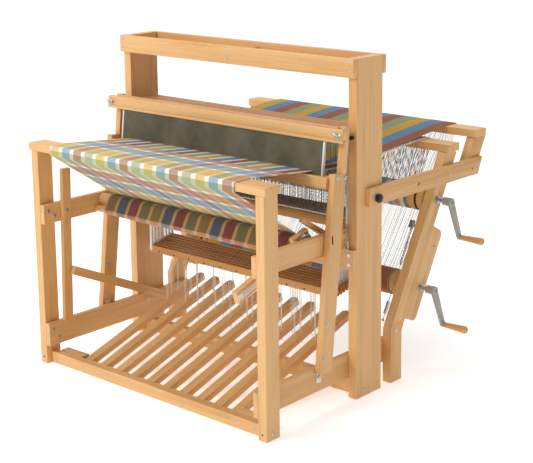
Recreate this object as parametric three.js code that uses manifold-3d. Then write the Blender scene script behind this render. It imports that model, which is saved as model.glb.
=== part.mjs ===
// A folding eight-shaft floor loom with ten treadles and two warp beams, in millimetres, +Z up.
// +X is the weaver's right hand, +Y runs from the weaver to the back of the loom.
// Every wooden member, moving part and soft body is one closed mesh in its own node.
import * as THREE from 'three';
import { mergeVertices } from 'three/addons/utils/BufferGeometryUtils.js';
import Module from 'manifold-3d';

const wasm = await Module();
wasm.setup();

// ---- driving dimensions -------------------------------------------------------------------
const GAP = 0.3;                    // clearance between touching pieces
const INNER = 502;                  // half the clear width between the posts
const POST_THICK = 33.7;            // thickness of every upright post across the loom
const OUTER = INNER + GAP + POST_THICK;
const RAIL_THICK = 20;              // side rails, on the inner faces of the posts
const FRONT_POST_DEPTH = 61;
const FRONT_POST_TOP = 763.7;
const BREAST = { overhang: 9, front: -4, depth: 72, height: 26 };
const FRONT_RAIL = { front: 20, thick: 25, bottom: 2, height: 40 };
const UPPER_RAIL = { bottom: 508, height: 68 };
const LOWER_RAIL = { bottom: 68, height: 82 };
const CASTLE = { front: 436, depth: 132, height: 1120 };
const TRAY = { board: 17.5, height: 60, floorBottom: 1068, floorThick: 9, divider: 12, dividerTop: 1104 };
const FOOT_RAIL = { front: 466, thick: 26, bottom: 2, height: 48 };
const GUIDE = { thick: 17.7, bottom: 440 };          // board across the front of the castle
const SHAFTS = 8;
const SHAFT = { first: 446.5, pitch: 15.4, thick: 9, half: 500, bottom: 566, bar: 31, top: 888, strap: 14 };
const LAMM = { half: 442, thick: 9, height: 25, bottom: 324, rise: 3 };
const TREADLES = 10;
const TREADLE = { pitch: 77.7, width: 35, thick: 22, length: 594, nose: 12, angle: 17.8, corner: 9 };
const TREADLE_PIVOT = { y: 62, z: 24 };
const BEATER_PIVOT = { y: 285, z: 118 };
const BEATER_LEAN = 6.6;            // degrees, towards the castle
const ARM = { inner: 504.3, thick: 24, front: -24, rear: 34, bottom: 15, shoulder: 652 };
const UPRIGHT = { front: 13, top: 800 };
const PLATE = { thick: 1.7, half: 12, bottom: -20, top: 40 };   // steel hanger on the arm's inner face
const RACE = { front: -36, rear: 28, bottom: 604, top: 640, grooveFront: -10, grooveRear: 0, floor: 626 };
const REED = { half: 468, bottom: 626.3, top: 759.7, front: -9.7, rear: -0.3, rib: 12, end: 8 };
const HAND_BAR = { half: 541, front: -17, rear: 5, bottom: 750, top: 793, groove: 760 };
const CAP = { half: 503.5, rear: 30, bottom: 762, top: 797 };
const CLOTH_BEAM = { y: 263, z: 552, radius: 21, half: 481.7 };
const RATCHET = { from: 464, thick: 8, teeth: 24, root: 30, tip: 35 };
const APRON_ROD = { y: 234, z: 523, radius: 11.5 };
const CLOTH = { half: 426, thick: 3, layers: 5, fell: 236 };
const HANDLE = { from: 441, thick: 20, width: 40, reach: 316, droop: 19, eye: 36, slack: 8 };
const SIDE_LEVER = { thick: 15.5, width: 36, y: 88, z: 534, up: 159, down: 386, lean: 1.6 };
const PEDAL = { from: -464, thick: 18, width: 31, y: 533, z: 130, length: 484, angle: 24.5 };
const FOLD_PIVOT = { y: 653, z: 180 };
const BACK_LEAN = 29.1;             // degrees that the back posts lean away from upright
const FOLD_ANGLE = 26.7;            // degrees of folding until the brace's second hole meets the knob
const BACK_POST = { width: 60, length: 652, sideCut: 30.5 };
const DOUBLER = { from: 52, to: 380, width: 62, corner: 24 };
const BRACE = { thick: 15, front: 484, rear: 1138, rearBottom: 1112, bottom: 640, height: 60 };
const KNOB = { y: 523, z: 664, radius: 4.5 };
const SHORT_POST = { foot: 1056, footZ: 672, width: 60, length: 107.5 };
const BACK_BEAM = { half: 545, height: 28, depth: 66 };
const FRONT_BACK_BEAM = { front: 935, bottom: 742 };
const REAR_BACK_BEAM = { front: 1103, bottom: 769 };
const WARP_BEAM = { half: 499, radius: 40, drum: 47, drumWidth: 52, axle: 6, bore: 7 };
const UPPER_BEAM = { y: 884, z: 586 };
const LOWER_BEAM = { y: 792, z: 295 };
const CRANK = { boss: 15, bossFrom: 560, bossTo: 598, arm: 145, armThick: 9, armWide: 22, armNarrow: 16 };
const GRIP = { from: 600, to: 688, thin: 9.5, fat: 13 };
const CRANK_ANGLE = 22;             // degrees from straight down, towards the back
const WARP = { thick: 3, eye: 749 };

// ---- finishes -----------------------------------------------------------------------------
const finish = (color, roughness, metalness = 0) => new THREE.MeshStandardMaterial({ color, roughness,
  metalness });
const maple = finish(0xe8bf8e, 0.5);
const bareMaple = finish(0xb98746, 0.6);
const steel = finish(0x8a8c84, 0.4, 1);
const reedSteel = finish(0x4a4636, 0.45, 1);
const weave = finish(0xcdbf8a, 0.9);
const yarn = finish(0xd8cdb0, 0.95);

// ---- helpers ------------------------------------------------------------------------------
const loom = new THREE.Group();
const radians = THREE.MathUtils.degToRad;

function piece(name, geometry, material, parent = loom) {
  const mesh = new THREE.Mesh(geometry, material);
  mesh.name = name;
  parent.add(mesh);
  return mesh;
}

// A box between two corners.
function block(x0, x1, y0, y1, z0, z1) {
  const box = new THREE.BoxGeometry(x1 - x0, y1 - y0, z1 - z0);
  return box.translate((x0 + x1) / 2, (y0 + y1) / 2, (z0 + z1) / 2);
}

// An outline drawn in Y and Z, pushed along X from one face to the other.
function slab(outline, x0, x1) {
  const shape = outline instanceof THREE.Shape ? outline : new THREE.Shape(outline.map(([y,
    z]) => new THREE.Vector2(y, z)));
  const body = new THREE.ExtrudeGeometry(shape, { depth: x1 - x0, bevelEnabled: false, curveSegments: 10 });
  const turn = new THREE.Matrix4().makeBasis(
    new THREE.Vector3(0, 1, 0), new THREE.Vector3(0, 0, 1), new THREE.Vector3(1, 0, 0));
  return body.applyMatrix4(turn).translate(x0, 0, 0);
}

// A round bar along X.
function rod(radius, x0, x1, y, z, sides = 20, endRadius = radius) {
  const bar = new THREE.CylinderGeometry(radius, endRadius, x1 - x0, sides);
  return bar.rotateZ(Math.PI / 2).translate((x0 + x1) / 2, y, z);
}

function solid(geometry) {
  const bare = geometry.clone();
  bare.deleteAttribute('normal');
  bare.deleteAttribute('uv');
  const merged = mergeVertices(bare, 1e-4);
  return new wasm.Manifold(new wasm.Mesh({
    numProp: 3,
    vertProperties: new Float32Array(merged.attributes.position.array),
    triVerts: new Uint32Array(merged.index.array),
  }));
}

function surface(body) {
  const mesh = body.getMesh();
  const geometry = new THREE.BufferGeometry();
  geometry.setAttribute('position', new THREE.BufferAttribute(new Float32Array(mesh.vertProperties), 3));
  geometry.setIndex(new THREE.BufferAttribute(new Uint32Array(mesh.triVerts), 1));
  return geometry;
}

const join = (...parts) => surface(parts.map(solid).reduce((whole, next) => whole.add(next)));
const cut = (part, ...tools) => surface(tools.map(solid).reduce((whole, tool) => whole.subtract(tool),
  solid(part)));

// The same maker called once for each side of the loom.
function bothSides(name, make, material, parent = loom) {
  piece(`right_${name}`, make(1), material, parent);
  piece(`left_${name}`, make(-1), material, parent);
}

// Distances from the middle of the loom, on the right (+1) or the left (-1).
const across = (side, from, to) => (side > 0 ? [from, to] : [-to, -from]);

// ---- fixed frame --------------------------------------------------------------------------
bothSides('front_post', (side) => block(...across(side, INNER + GAP, OUTER), 0, FRONT_POST_DEPTH, 0,
  FRONT_POST_TOP), maple);

const breastBottom = FRONT_POST_TOP + GAP;
const breastTop = breastBottom + BREAST.height;
const breastRear = BREAST.front + BREAST.depth;
piece('breast_beam', block(-OUTER - BREAST.overhang, OUTER + BREAST.overhang, BREAST.front, breastRear,
  breastBottom, breastTop), maple);
piece('front_rail', block(-INNER, INNER, FRONT_RAIL.front, FRONT_RAIL.front + FRONT_RAIL.thick,
  FRONT_RAIL.bottom, FRONT_RAIL.bottom + FRONT_RAIL.height), maple);

const legRear = FOLD_PIVOT.y + BACK_POST.width / 2;
bothSides('upper_rail', (side) => block(...across(side, INNER - RAIL_THICK, INNER),
  0, CASTLE.front - GAP, UPPER_RAIL.bottom, UPPER_RAIL.bottom + UPPER_RAIL.height), maple);
const lowerRail = (side) => cut(
  block(...across(side, INNER - RAIL_THICK, INNER), 0, legRear, LOWER_RAIL.bottom,
    LOWER_RAIL.bottom + LOWER_RAIL.height),
  block(-INNER, INNER, FRONT_RAIL.front - GAP, FRONT_RAIL.front + FRONT_RAIL.thick, 0,
    FRONT_RAIL.bottom + FRONT_RAIL.height));
bothSides('lower_rail', lowerRail, maple);

// ---- castle -------------------------------------------------------------------------------
const castleRear = CASTLE.front + CASTLE.depth;
bothSides('castle_post', (side) => block(...across(side, INNER + GAP, OUTER), CASTLE.front, castleRear, 0,
  CASTLE.height), maple);

const trayBottom = CASTLE.height - TRAY.height;
const boardFront = CASTLE.front - GAP;
const boardRear = castleRear + GAP;
piece('castle_tray', join(
  block(-OUTER, OUTER, boardFront - TRAY.board, boardFront, trayBottom, CASTLE.height),
  block(-OUTER, OUTER, boardRear, boardRear + TRAY.board, trayBottom, CASTLE.height),
  block(-INNER, INNER, boardFront - 1, boardRear + 1, TRAY.floorBottom, TRAY.floorBottom + TRAY.floorThick),
  block(-TRAY.divider / 2, TRAY.divider / 2, boardFront - 1, boardRear + 1, TRAY.floorBottom,
    TRAY.dividerTop)), maple);
piece('castle_foot_rail', block(-INNER, INNER, FOOT_RAIL.front, FOOT_RAIL.front + FOOT_RAIL.thick,
  FOOT_RAIL.bottom, FOOT_RAIL.bottom + FOOT_RAIL.height), maple);
piece('shaft_guide_board', block(-OUTER, OUTER, boardFront - GUIDE.thick, boardFront,
  GUIDE.bottom, UPPER_RAIL.bottom - GAP), maple);

// ---- shafts and lamms ---------------------------------------------------------------------
// A shaft is a bottom and a top bar held apart by a flat strap at each end; the heddles hang inside.
for (let k = 1; k <= SHAFTS; k += 1) {
  const y = SHAFT.first + SHAFT.pitch * (k - 1);
  const front = y - SHAFT.thick / 2;
  const rear = y + SHAFT.thick / 2;
  piece(`shaft_${k}`, cut(
    block(-SHAFT.half, SHAFT.half, front, rear, SHAFT.bottom, SHAFT.top),
    block(-SHAFT.half + SHAFT.strap, SHAFT.half - SHAFT.strap, front - 1, rear + 1,
      SHAFT.bottom + SHAFT.bar, SHAFT.top - SHAFT.bar)), bareMaple);
  const lammBottom = LAMM.bottom + LAMM.rise * (k - 1);
  piece(`lamm_${k}`, block(-LAMM.half, LAMM.half, y - LAMM.thick / 2, y + LAMM.thick / 2,
    lammBottom, lammBottom + LAMM.height), maple);
}

// ---- treadles -----------------------------------------------------------------------------
// Each one swings on a rod behind the front rail, and its free rear end has clipped corners.
function treadleShape() {
  const half = TREADLE.width / 2;
  const shape = new THREE.Shape([
    new THREE.Vector2(-half, -TREADLE.nose), new THREE.Vector2(half, -TREADLE.nose),
    new THREE.Vector2(half, TREADLE.length - TREADLE.corner), new THREE.Vector2(half - TREADLE.corner,
      TREADLE.length),
    new THREE.Vector2(-half + TREADLE.corner, TREADLE.length), new THREE.Vector2(-half,
      TREADLE.length - TREADLE.corner)]);
  const body = new THREE.ExtrudeGeometry(shape, { depth: TREADLE.thick, bevelEnabled: false });
  return body.translate(0, 0, -TREADLE.thick / 2);
}
for (let k = 1; k <= TREADLES; k += 1) {
  const treadle = piece(`treadle_${k}`, treadleShape(), bareMaple);
  treadle.position.set(TREADLE.pitch * (k - (TREADLES + 1) / 2), TREADLE_PIVOT.y, TREADLE_PIVOT.z);
  treadle.rotation.x = radians(TREADLE.angle);
}

// ---- beater -------------------------------------------------------------------------------
// Drawn upright about its pivot, then leaned back against the castle.
const beater = new THREE.Group();
beater.position.set(0, BEATER_PIVOT.y, BEATER_PIVOT.z);
beater.rotation.x = -radians(BEATER_LEAN);
loom.add(beater);

const armOutline = [
  [ARM.front, ARM.bottom], [ARM.rear, ARM.bottom],
  [ARM.rear, UPRIGHT.top], [UPRIGHT.front, UPRIGHT.top], [UPRIGHT.front, ARM.shoulder], [ARM.front,
    ARM.shoulder]];
bothSides('beater_arm', (side) => join(
  slab(armOutline, ...across(side, ARM.inner, ARM.inner + ARM.thick)),
  block(...across(side, ARM.inner - PLATE.thick, ARM.inner + 1), -PLATE.half, PLATE.half, PLATE.bottom,
    PLATE.top)), maple, beater);

const raceHalf = ARM.inner - GAP;
piece('beater_race', slab([
  [RACE.front, RACE.bottom], [RACE.rear, RACE.bottom], [RACE.rear, RACE.top], [RACE.grooveRear, RACE.top],
  [RACE.grooveRear, RACE.floor], [RACE.grooveFront, RACE.floor], [RACE.grooveFront, RACE.top], [RACE.front,
    RACE.top],
], -raceHalf, raceHalf), maple, beater);
piece('reed', cut(
  block(-REED.half, REED.half, REED.front, REED.rear, REED.bottom, REED.top),
  block(-REED.half + REED.end, REED.half - REED.end, REED.front - 1, REED.rear + 1,
    REED.bottom + REED.rib, REED.top - REED.rib)), reedSteel, beater);
piece('beater_top_bars', join(
  slab([[HAND_BAR.front, HAND_BAR.bottom], [RACE.grooveFront, HAND_BAR.bottom], [RACE.grooveFront,
    HAND_BAR.groove],
    [RACE.grooveRear, HAND_BAR.groove], [RACE.grooveRear, HAND_BAR.bottom], [HAND_BAR.rear, HAND_BAR.bottom],
    [HAND_BAR.rear, HAND_BAR.top], [HAND_BAR.front, HAND_BAR.top]], -HAND_BAR.half, HAND_BAR.half),
  block(-CAP.half, CAP.half, HAND_BAR.rear - 1, CAP.rear, CAP.bottom, CAP.top)), maple, beater);

// ---- cloth take-up ------------------------------------------------------------------------
// The ratchet wheel is keyed to the cloth beam, outside the cloth.
function ratchetShape() {
  const points = [];
  for (let k = 0; k < RATCHET.teeth; k += 1) {
    const turn = (2 * Math.PI * k) / RATCHET.teeth;
    const tooth = (radius) => new THREE.Vector2(CLOTH_BEAM.y + radius * Math.cos(turn),
      CLOTH_BEAM.z + radius * Math.sin(turn));
    points.push(tooth(RATCHET.root), tooth(RATCHET.tip));
  }
  return new THREE.Shape(points);
}
piece('cloth_beam', join(
  rod(CLOTH_BEAM.radius, -CLOTH_BEAM.half, CLOTH_BEAM.half, CLOTH_BEAM.y, CLOTH_BEAM.z, 24),
  slab(ratchetShape(), RATCHET.from, RATCHET.from + RATCHET.thick)), maple);

const handle = new THREE.Group();
handle.position.set(0, CLOTH_BEAM.y, CLOTH_BEAM.z);
handle.rotation.x = radians(HANDLE.droop);
loom.add(handle);
// The handle's end is boxed round the beam: a roomy square eye leaves the beam free to turn.
const eyeRoom = CLOTH_BEAM.radius + HANDLE.slack;
piece('advance_handle', cut(
  join(
    block(HANDLE.from, HANDLE.from + HANDLE.thick, -HANDLE.reach, 0, -HANDLE.width / 2, HANDLE.width / 2),
    block(HANDLE.from, HANDLE.from + HANDLE.thick, -HANDLE.eye, HANDLE.eye, -HANDLE.eye, HANDLE.eye)),
  block(HANDLE.from - 1, HANDLE.from + HANDLE.thick + 1, -eyeRoom, eyeRoom, -eyeRoom, eyeRoom)), maple,
    handle);

// ---- levers on the left -------------------------------------------------------------------
const sideLever = new THREE.Group();
sideLever.position.set(0, SIDE_LEVER.y, SIDE_LEVER.z);
sideLever.rotation.x = -radians(SIDE_LEVER.lean);
loom.add(sideLever);
const leverFace = -(INNER - RAIL_THICK) + GAP;
piece('side_lever', block(leverFace, leverFace + SIDE_LEVER.thick, -SIDE_LEVER.width / 2,
  SIDE_LEVER.width / 2,
  -SIDE_LEVER.down, SIDE_LEVER.up), maple, sideLever);

const pedal = new THREE.Group();
pedal.position.set(0, PEDAL.y, PEDAL.z);
pedal.rotation.x = -radians(PEDAL.angle);
loom.add(pedal);
piece('brake_pedal', block(PEDAL.from, PEDAL.from + PEDAL.thick, -PEDAL.length, PEDAL.width / 2,
  -PEDAL.width / 2, PEDAL.width / 2), maple, pedal);

// ---- folding back -------------------------------------------------------------------------
// Leg and back post meet in a half-lapped knuckle: the leg's round tongue is outside, the post's inside.
const LAP = INNER + GAP + POST_THICK / 2;
const halfPost = BACK_POST.width / 2;
const backLean = radians(BACK_LEAN);

// Points given along and behind the centre line of the leaning post, from the pivot.
const leaned = (behind, along) => [
  FOLD_PIVOT.y + behind * Math.cos(backLean) + along * Math.sin(backLean),
  FOLD_PIVOT.z - behind * Math.sin(backLean) + along * Math.cos(backLean)];
const leanedSlab = (half, along0, along1, x0, x1) => slab(
  [leaned(-half, along0), leaned(half, along0), leaned(half, along1), leaned(-half, along1)], x0, x1);
const knuckle = (radius, x0, x1) => rod(radius, x0, x1, FOLD_PIVOT.y, FOLD_PIVOT.z, 40);

function rearLeg(side) {
  const outerHalf = across(side, LAP + GAP / 2, OUTER);
  const innerHalf = across(side, INNER + GAP, LAP + GAP / 2);
  const tongue = join(
    block(...outerHalf, FOLD_PIVOT.y - halfPost, legRear, 0, FOLD_PIVOT.z), knuckle(halfPost, ...outerHalf));
  const shoulder = cut(
    block(...innerHalf, FOLD_PIVOT.y - halfPost, legRear, 0, FOLD_PIVOT.z), knuckle(BACK_POST.sideCut,
      ...innerHalf));
  const room = across(side, INNER, OUTER + 1);
  const sweep = join(leanedSlab(halfPost + 1, 0, BACK_POST.length, ...room), knuckle(halfPost, ...room));
  const outerRoom = cut(sweep, knuckle(halfPost, ...across(side, LAP - 1, OUTER + 2)));
  return cut(join(tongue, shoulder), outerRoom);
}
bothSides('rear_leg', rearLeg, maple);

// The doubler widens the post behind, to carry the lower warp beam. Its outer corners are rounded.
function doublerShape() {
  const { from, to, width, corner } = DOUBLER;
  const near = halfPost - 1;
  const far = halfPost + width;
  const point = (behind, along) => new THREE.Vector2(...leaned(behind, along));
  const shape = new THREE.Shape();
  shape.moveTo(...leaned(near, from));
  shape.lineTo(...leaned(far - corner, from));
  shape.quadraticCurveTo(...leaned(far, from), ...leaned(far, from + corner));
  shape.lineTo(...leaned(far, to - corner));
  shape.quadraticCurveTo(...leaned(far, to), ...leaned(far - corner, to));
  shape.lineTo(point(near, to).x, point(near, to).y);
  shape.closePath();
  return shape;
}
function backPost(side) {
  const outerHalf = across(side, LAP + GAP / 2 - 0.1, OUTER);
  const innerHalf = across(side, INNER + GAP, LAP - GAP / 2);
  const beamGap = FRONT_BACK_BEAM.bottom - GAP;
  const whole = join(
    leanedSlab(halfPost, 0, BACK_POST.length, ...across(side, INNER + GAP, OUTER)),
    slab(doublerShape(), ...across(side, INNER + GAP, OUTER)),
    knuckle(halfPost, ...innerHalf));
  const roomAbove = block(-OUTER - 1, OUTER + 1, 0, 2000, beamGap, beamGap + 300);
  const bores = [UPPER_BEAM, LOWER_BEAM].map((beam) => rod(WARP_BEAM.bore, ...across(side, INNER - 1,
    OUTER + 1), beam.y, beam.z));
  return cut(whole, knuckle(BACK_POST.sideCut, ...outerHalf), roomAbove, ...bores);
}
bothSides('back_post', backPost, maple);

// The brace is bolted to the back post and hooked to a knob on the castle. Its second hole takes
// the knob when the back is folded, so both holes lie on one circle about the fold pivot.
function brace(side) {
  const x = across(side, OUTER + GAP, OUTER + GAP + BRACE.thick);
  const top = BRACE.bottom + BRACE.height;
  const fold = radians(-FOLD_ANGLE);
  const dy = KNOB.y - FOLD_PIVOT.y;
  const dz = KNOB.z - FOLD_PIVOT.z;
  const second = [FOLD_PIVOT.y + dy * Math.cos(fold) - dz * Math.sin(fold),
    FOLD_PIVOT.z + dy * Math.sin(fold) + dz * Math.cos(fold)];
  const rail = slab([[BRACE.front, BRACE.bottom], [BRACE.rearBottom, BRACE.bottom], [BRACE.rear, top],
    [BRACE.front, top]], ...x);
  const direction = [Math.sin(backLean), Math.cos(backLean)];
  const along = (behind, up) => [
    SHORT_POST.foot + behind * direction[1] + up * direction[0],
      SHORT_POST.footZ - behind * direction[0] + up * direction[1]];
  const post = slab([along(0, 0), along(SHORT_POST.width, 0), along(SHORT_POST.width, 2 * SHORT_POST.length),
    along(0, 2 * SHORT_POST.length)], ...across(side, INNER + GAP, OUTER + GAP + 1));
  const bores = [[KNOB.y, KNOB.z], second].map(([y, z]) => rod(KNOB.radius, ...across(side, OUTER - 1,
    OUTER + 30), y, z, 12));
  const roomAbove = block(-OUTER - 50, OUTER + 50, 0, 2000, REAR_BACK_BEAM.bottom - GAP, 1400);
  return cut(join(rail, post), roomAbove, ...bores);
}
bothSides('brace', brace, maple);

const backBeam = ({ front, bottom }) => block(-BACK_BEAM.half, BACK_BEAM.half, front,
  front + BACK_BEAM.depth, bottom, bottom + BACK_BEAM.height);
piece('front_back_beam', backBeam(FRONT_BACK_BEAM), maple);
piece('rear_back_beam', backBeam(REAR_BACK_BEAM), maple);

// A warp beam: a wooden roller with a brake drum at each end, an axle through the right post,
// and a cast crank whose tapered grip points away from the loom.
function warpBeam({ y, z }) {
  const crankY = y + CRANK.arm * Math.sin(radians(CRANK_ANGLE));
  const crankZ = z - CRANK.arm * Math.cos(radians(CRANK_ANGLE));
  const arm = new THREE.Shape([
    new THREE.Vector2(0, -CRANK.armWide / 2), new THREE.Vector2(CRANK.arm, -CRANK.armNarrow / 2),
    new THREE.Vector2(CRANK.arm, CRANK.armNarrow / 2), new THREE.Vector2(0, CRANK.armWide / 2)]);
  const plate = new THREE.ExtrudeGeometry(arm, { depth: CRANK.armThick, bevelEnabled: false });
  plate.rotateZ(radians(CRANK_ANGLE - 90));
  plate.applyMatrix4(new THREE.Matrix4().makeBasis(
    new THREE.Vector3(0, 1, 0), new THREE.Vector3(0, 0, 1), new THREE.Vector3(1, 0, 0)));
  plate.translate(CRANK.bossTo - CRANK.armThick - 1, y, z);
  return join(
    rod(WARP_BEAM.radius, -WARP_BEAM.half + 1, WARP_BEAM.half - 1, y, z, 24),
    rod(WARP_BEAM.drum, WARP_BEAM.half - WARP_BEAM.drumWidth, WARP_BEAM.half, y, z, 28),
    rod(WARP_BEAM.drum, -WARP_BEAM.half, -WARP_BEAM.half + WARP_BEAM.drumWidth, y, z, 28),
    rod(WARP_BEAM.axle, -OUTER - 6, CRANK.bossTo - 4, y, z, 12),
    rod(CRANK.boss, CRANK.bossFrom, CRANK.bossTo, y, z, 20),
    plate,
    rod(CRANK.armNarrow / 2 + 1, CRANK.bossTo - CRANK.armThick - 1.5, GRIP.from + 2, crankY, crankZ, 16),
    rod(GRIP.fat, GRIP.from, GRIP.to, crankY, crankZ, 16, GRIP.thin));
}
piece('upper_warp_beam', warpBeam(UPPER_BEAM), steel);
piece('lower_warp_beam', warpBeam(LOWER_BEAM), steel);

// ---- soft bodies --------------------------------------------------------------------------
// A thin strip of cloth or warp between two points of its path, seen from the side.
function strip([y0, z0], [y1, z1], thick, half) {
  const length = Math.hypot(y1 - y0, z1 - z0);
  const [ny, nz] = [(-(z1 - z0) / length) * thick, ((y1 - y0) / length) * thick];
  const [ty, tz] = [((y1 - y0) / length) * 0.8, ((z1 - z0) / length) * 0.8];
  return slab([[y0 - ty, z0 - tz], [y1 + ty, z1 + tz], [y1 + ty + ny, z1 + tz + nz], [y0 - ty + ny,
    z0 - tz + nz]], -half, half);
}
const path = (points, thick, half) => points.slice(1).map((point, k) => strip(points[k], point, thick, half));

// Cloth: from the fell over the breast beam, down its front, and round the cloth beam and apron rod.
const slope = (y) => breastTop + 0.5 - (y - breastRear) * 0.1;      // the warp falls towards the shafts
const over = breastTop + 0.5;
const frontFace = BREAST.front - 0.5;
const rollRadius = CLOTH_BEAM.radius + CLOTH.layers;
const rollTop = [CLOTH_BEAM.y + (rollRadius - 1.5) * 0.55, CLOTH_BEAM.z + (rollRadius - 1.5) * 0.84];
const roll = cut(
  surface(wasm.Manifold.hull([
    solid(rod(rollRadius, -CLOTH.half, CLOTH.half, CLOTH_BEAM.y, CLOTH_BEAM.z, 24)),
    solid(rod(APRON_ROD.radius + CLOTH.thick, -CLOTH.half, CLOTH.half, APRON_ROD.y, APRON_ROD.z, 20))])),
  rod(CLOTH_BEAM.radius + 0.6, -CLOTH.half - 1, CLOTH.half + 1, CLOTH_BEAM.y, CLOTH_BEAM.z, 24),
  rod(APRON_ROD.radius, -CLOTH.half - 1, CLOTH.half + 1, APRON_ROD.y, APRON_ROD.z, 20));
piece('woven_cloth', join(
  ...path([[CLOTH.fell, slope(CLOTH.fell)], [breastRear, over], [BREAST.front, over]].reverse(),
    CLOTH.thick, CLOTH.half),
  strip([frontFace, breastBottom - 0.5], [frontFace, over + CLOTH.thick - 0.8], CLOTH.thick, CLOTH.half),
  strip([frontFace - CLOTH.thick + 0.5, breastBottom - CLOTH.thick - 0.2], rollTop, CLOTH.thick, CLOTH.half),
  roll), weave);

// Warp: from the fell through the reed and the shafts. One sheet runs over the rear back beam to the
// lower warp beam, the other over the front back beam to the upper warp beam.
const lastShaft = SHAFT.first + SHAFT.pitch * SHAFTS;
const beamTop = ({ bottom }) => bottom + BACK_BEAM.height + 0.6;
const beamRear = ({ front }) => front + BACK_BEAM.depth + 0.6 + WARP.thick;
const sheet = (beam, roller) => path([
  [lastShaft, WARP.eye], [beam.front, beamTop(beam)], [beamRear(beam), beamTop(beam)],
  [beamRear(beam), beam.bottom - 4], [roller.y + WARP_BEAM.radius + 6, roller.z]], WARP.thick, CLOTH.half);
piece('warp', join(
  ...path([[CLOTH.fell + 2.5, slope(CLOTH.fell + 2.5)], [SHAFT.first, slope(SHAFT.first)], [lastShaft,
    WARP.eye]],
    WARP.thick, CLOTH.half),
  ...sheet(REAR_BACK_BEAM, LOWER_BEAM), ...sheet(FRONT_BACK_BEAM, UPPER_BEAM)), yarn);

// ---- origin: the middle of the whole loom, on the floor -----------------------------------
const extent = new THREE.Box3().setFromObject(loom, true);
loom.position.set(-(extent.min.x + extent.max.x) / 2, -(extent.min.y + extent.max.y) / 2, -extent.min.z);
loom.updateMatrixWorld(true);

export default loom;
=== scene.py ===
# %% [markdown]
# # A folding floor loom in maple, threaded and half woven
# The loom's frame, joints and sizes come from the CAD model, which loads as a fixed frame. This
# lesson dresses it: it softens every board, lays the grain, strings the warp, weaves the cloth and
# adds the wire, cord and hardware that a weaver sees. Everything is in metres and stands where
# the CAD says.

# %% Load the frame
import math
import random
import bmesh
import bpy
from mathutils import Matrix, Vector


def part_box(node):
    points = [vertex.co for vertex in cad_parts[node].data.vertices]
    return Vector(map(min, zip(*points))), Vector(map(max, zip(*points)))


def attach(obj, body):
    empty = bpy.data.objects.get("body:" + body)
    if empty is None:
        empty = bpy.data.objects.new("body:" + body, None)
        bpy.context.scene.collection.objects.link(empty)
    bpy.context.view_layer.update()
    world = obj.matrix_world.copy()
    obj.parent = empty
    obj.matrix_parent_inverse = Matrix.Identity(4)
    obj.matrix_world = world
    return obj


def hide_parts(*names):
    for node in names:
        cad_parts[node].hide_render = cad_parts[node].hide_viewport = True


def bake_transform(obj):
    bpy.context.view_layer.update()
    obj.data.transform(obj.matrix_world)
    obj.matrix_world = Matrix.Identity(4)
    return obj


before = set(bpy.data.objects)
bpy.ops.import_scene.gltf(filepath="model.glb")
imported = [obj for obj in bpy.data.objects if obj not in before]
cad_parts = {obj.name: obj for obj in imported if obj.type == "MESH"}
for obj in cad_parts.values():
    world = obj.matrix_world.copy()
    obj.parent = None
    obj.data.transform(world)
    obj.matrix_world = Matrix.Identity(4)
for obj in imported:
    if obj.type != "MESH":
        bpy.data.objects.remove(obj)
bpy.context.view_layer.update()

# %% [markdown]
# The drawing counts millimetres from the middle of the front posts. Two boxes give the way from
# those millimetres to the frame's metres, so every later number can be read off the drawing.

# %% From the drawing to the frame
MIDDLE = (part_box("left_front_post")[0][0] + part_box("right_front_post")[1][0]) / 2
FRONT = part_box("left_front_post")[0][1]


def at(x, y, z):
    """A point of the drawing, in mm, as a point of the frame, in metres."""
    return Vector((MIDDLE + x / 1000, FRONT + y / 1000, z / 1000))


BEATER_LEAN = math.radians(6.6)
BACK_LEAN = math.radians(29.1)
KNUCKLE = (653, 180)        # y and z of the hinge that the back folds about


def along_post(behind, up):
    """A point beside the leaning back post, measured from the knuckle it folds about."""
    return (KNUCKLE[0] + behind * math.cos(BACK_LEAN) + up * math.sin(BACK_LEAN),
            KNUCKLE[1] - behind * math.sin(BACK_LEAN) + up * math.cos(BACK_LEAN))


print("drawing origin at", at(0, 0, 0))

# %% [markdown]
# The camera stands to the weaver's right, a little above the loom, and looks across it with a long
# lens. A small vertical shift keeps the posts nearly parallel.

# %% Camera
CAMERA_AZIMUTH, CAMERA_ELEVATION, CAMERA_ROLL = 40.626, 11.715, -0.367      # degrees
CAMERA_TARGET, CAMERA_DISTANCE = at(188.8, 567.1, 766.2), 4.4038            # metres
SENSOR_MM, LENS_MM = 36, 87.8116
SHIFT_ACROSS, SHIFT_UP = -0.062852, -0.152908                               # shares of the width
view_camera = bpy.data.objects.new("catalogue_camera", bpy.data.cameras.new("catalogue_camera"))
bpy.context.scene.collection.objects.link(view_camera)
azimuth, elevation = math.radians(CAMERA_AZIMUTH), math.radians(CAMERA_ELEVATION)
towards = Vector((math.sin(azimuth) * math.cos(elevation), -math.cos(azimuth) * math.cos(elevation),
                  math.sin(elevation)))
view_camera.location = CAMERA_TARGET + towards * CAMERA_DISTANCE
view_camera.rotation_mode = "QUATERNION"
view_camera.rotation_quaternion = (-towards).to_track_quat("-Z", "Y") @ Matrix.Rotation(
    math.radians(CAMERA_ROLL), 4, "Z").to_quaternion()
view_camera.data.sensor_width, view_camera.data.lens = SENSOR_MM, LENS_MM
view_camera.data.shift_x, view_camera.data.shift_y = SHIFT_ACROSS, SHIFT_UP
bpy.context.scene.camera = view_camera
print("camera at", view_camera.location)

# %% [markdown]
# A pale seamless floor and wide soft lamps stand in for a catalogue studio. The big lamps give the
# boards broad gentle gradients, and the white world fills the shadows between the treadles. The
# world is brighter on one side than on the other, so a board's two sides differ in tone. Each
# material is a small net of nodes, and one helper adds a node of any kind with its sockets set.
# A colour Mix node has its factor at socket 0, its two colours at 6 and 7 and its result at 2.

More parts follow.
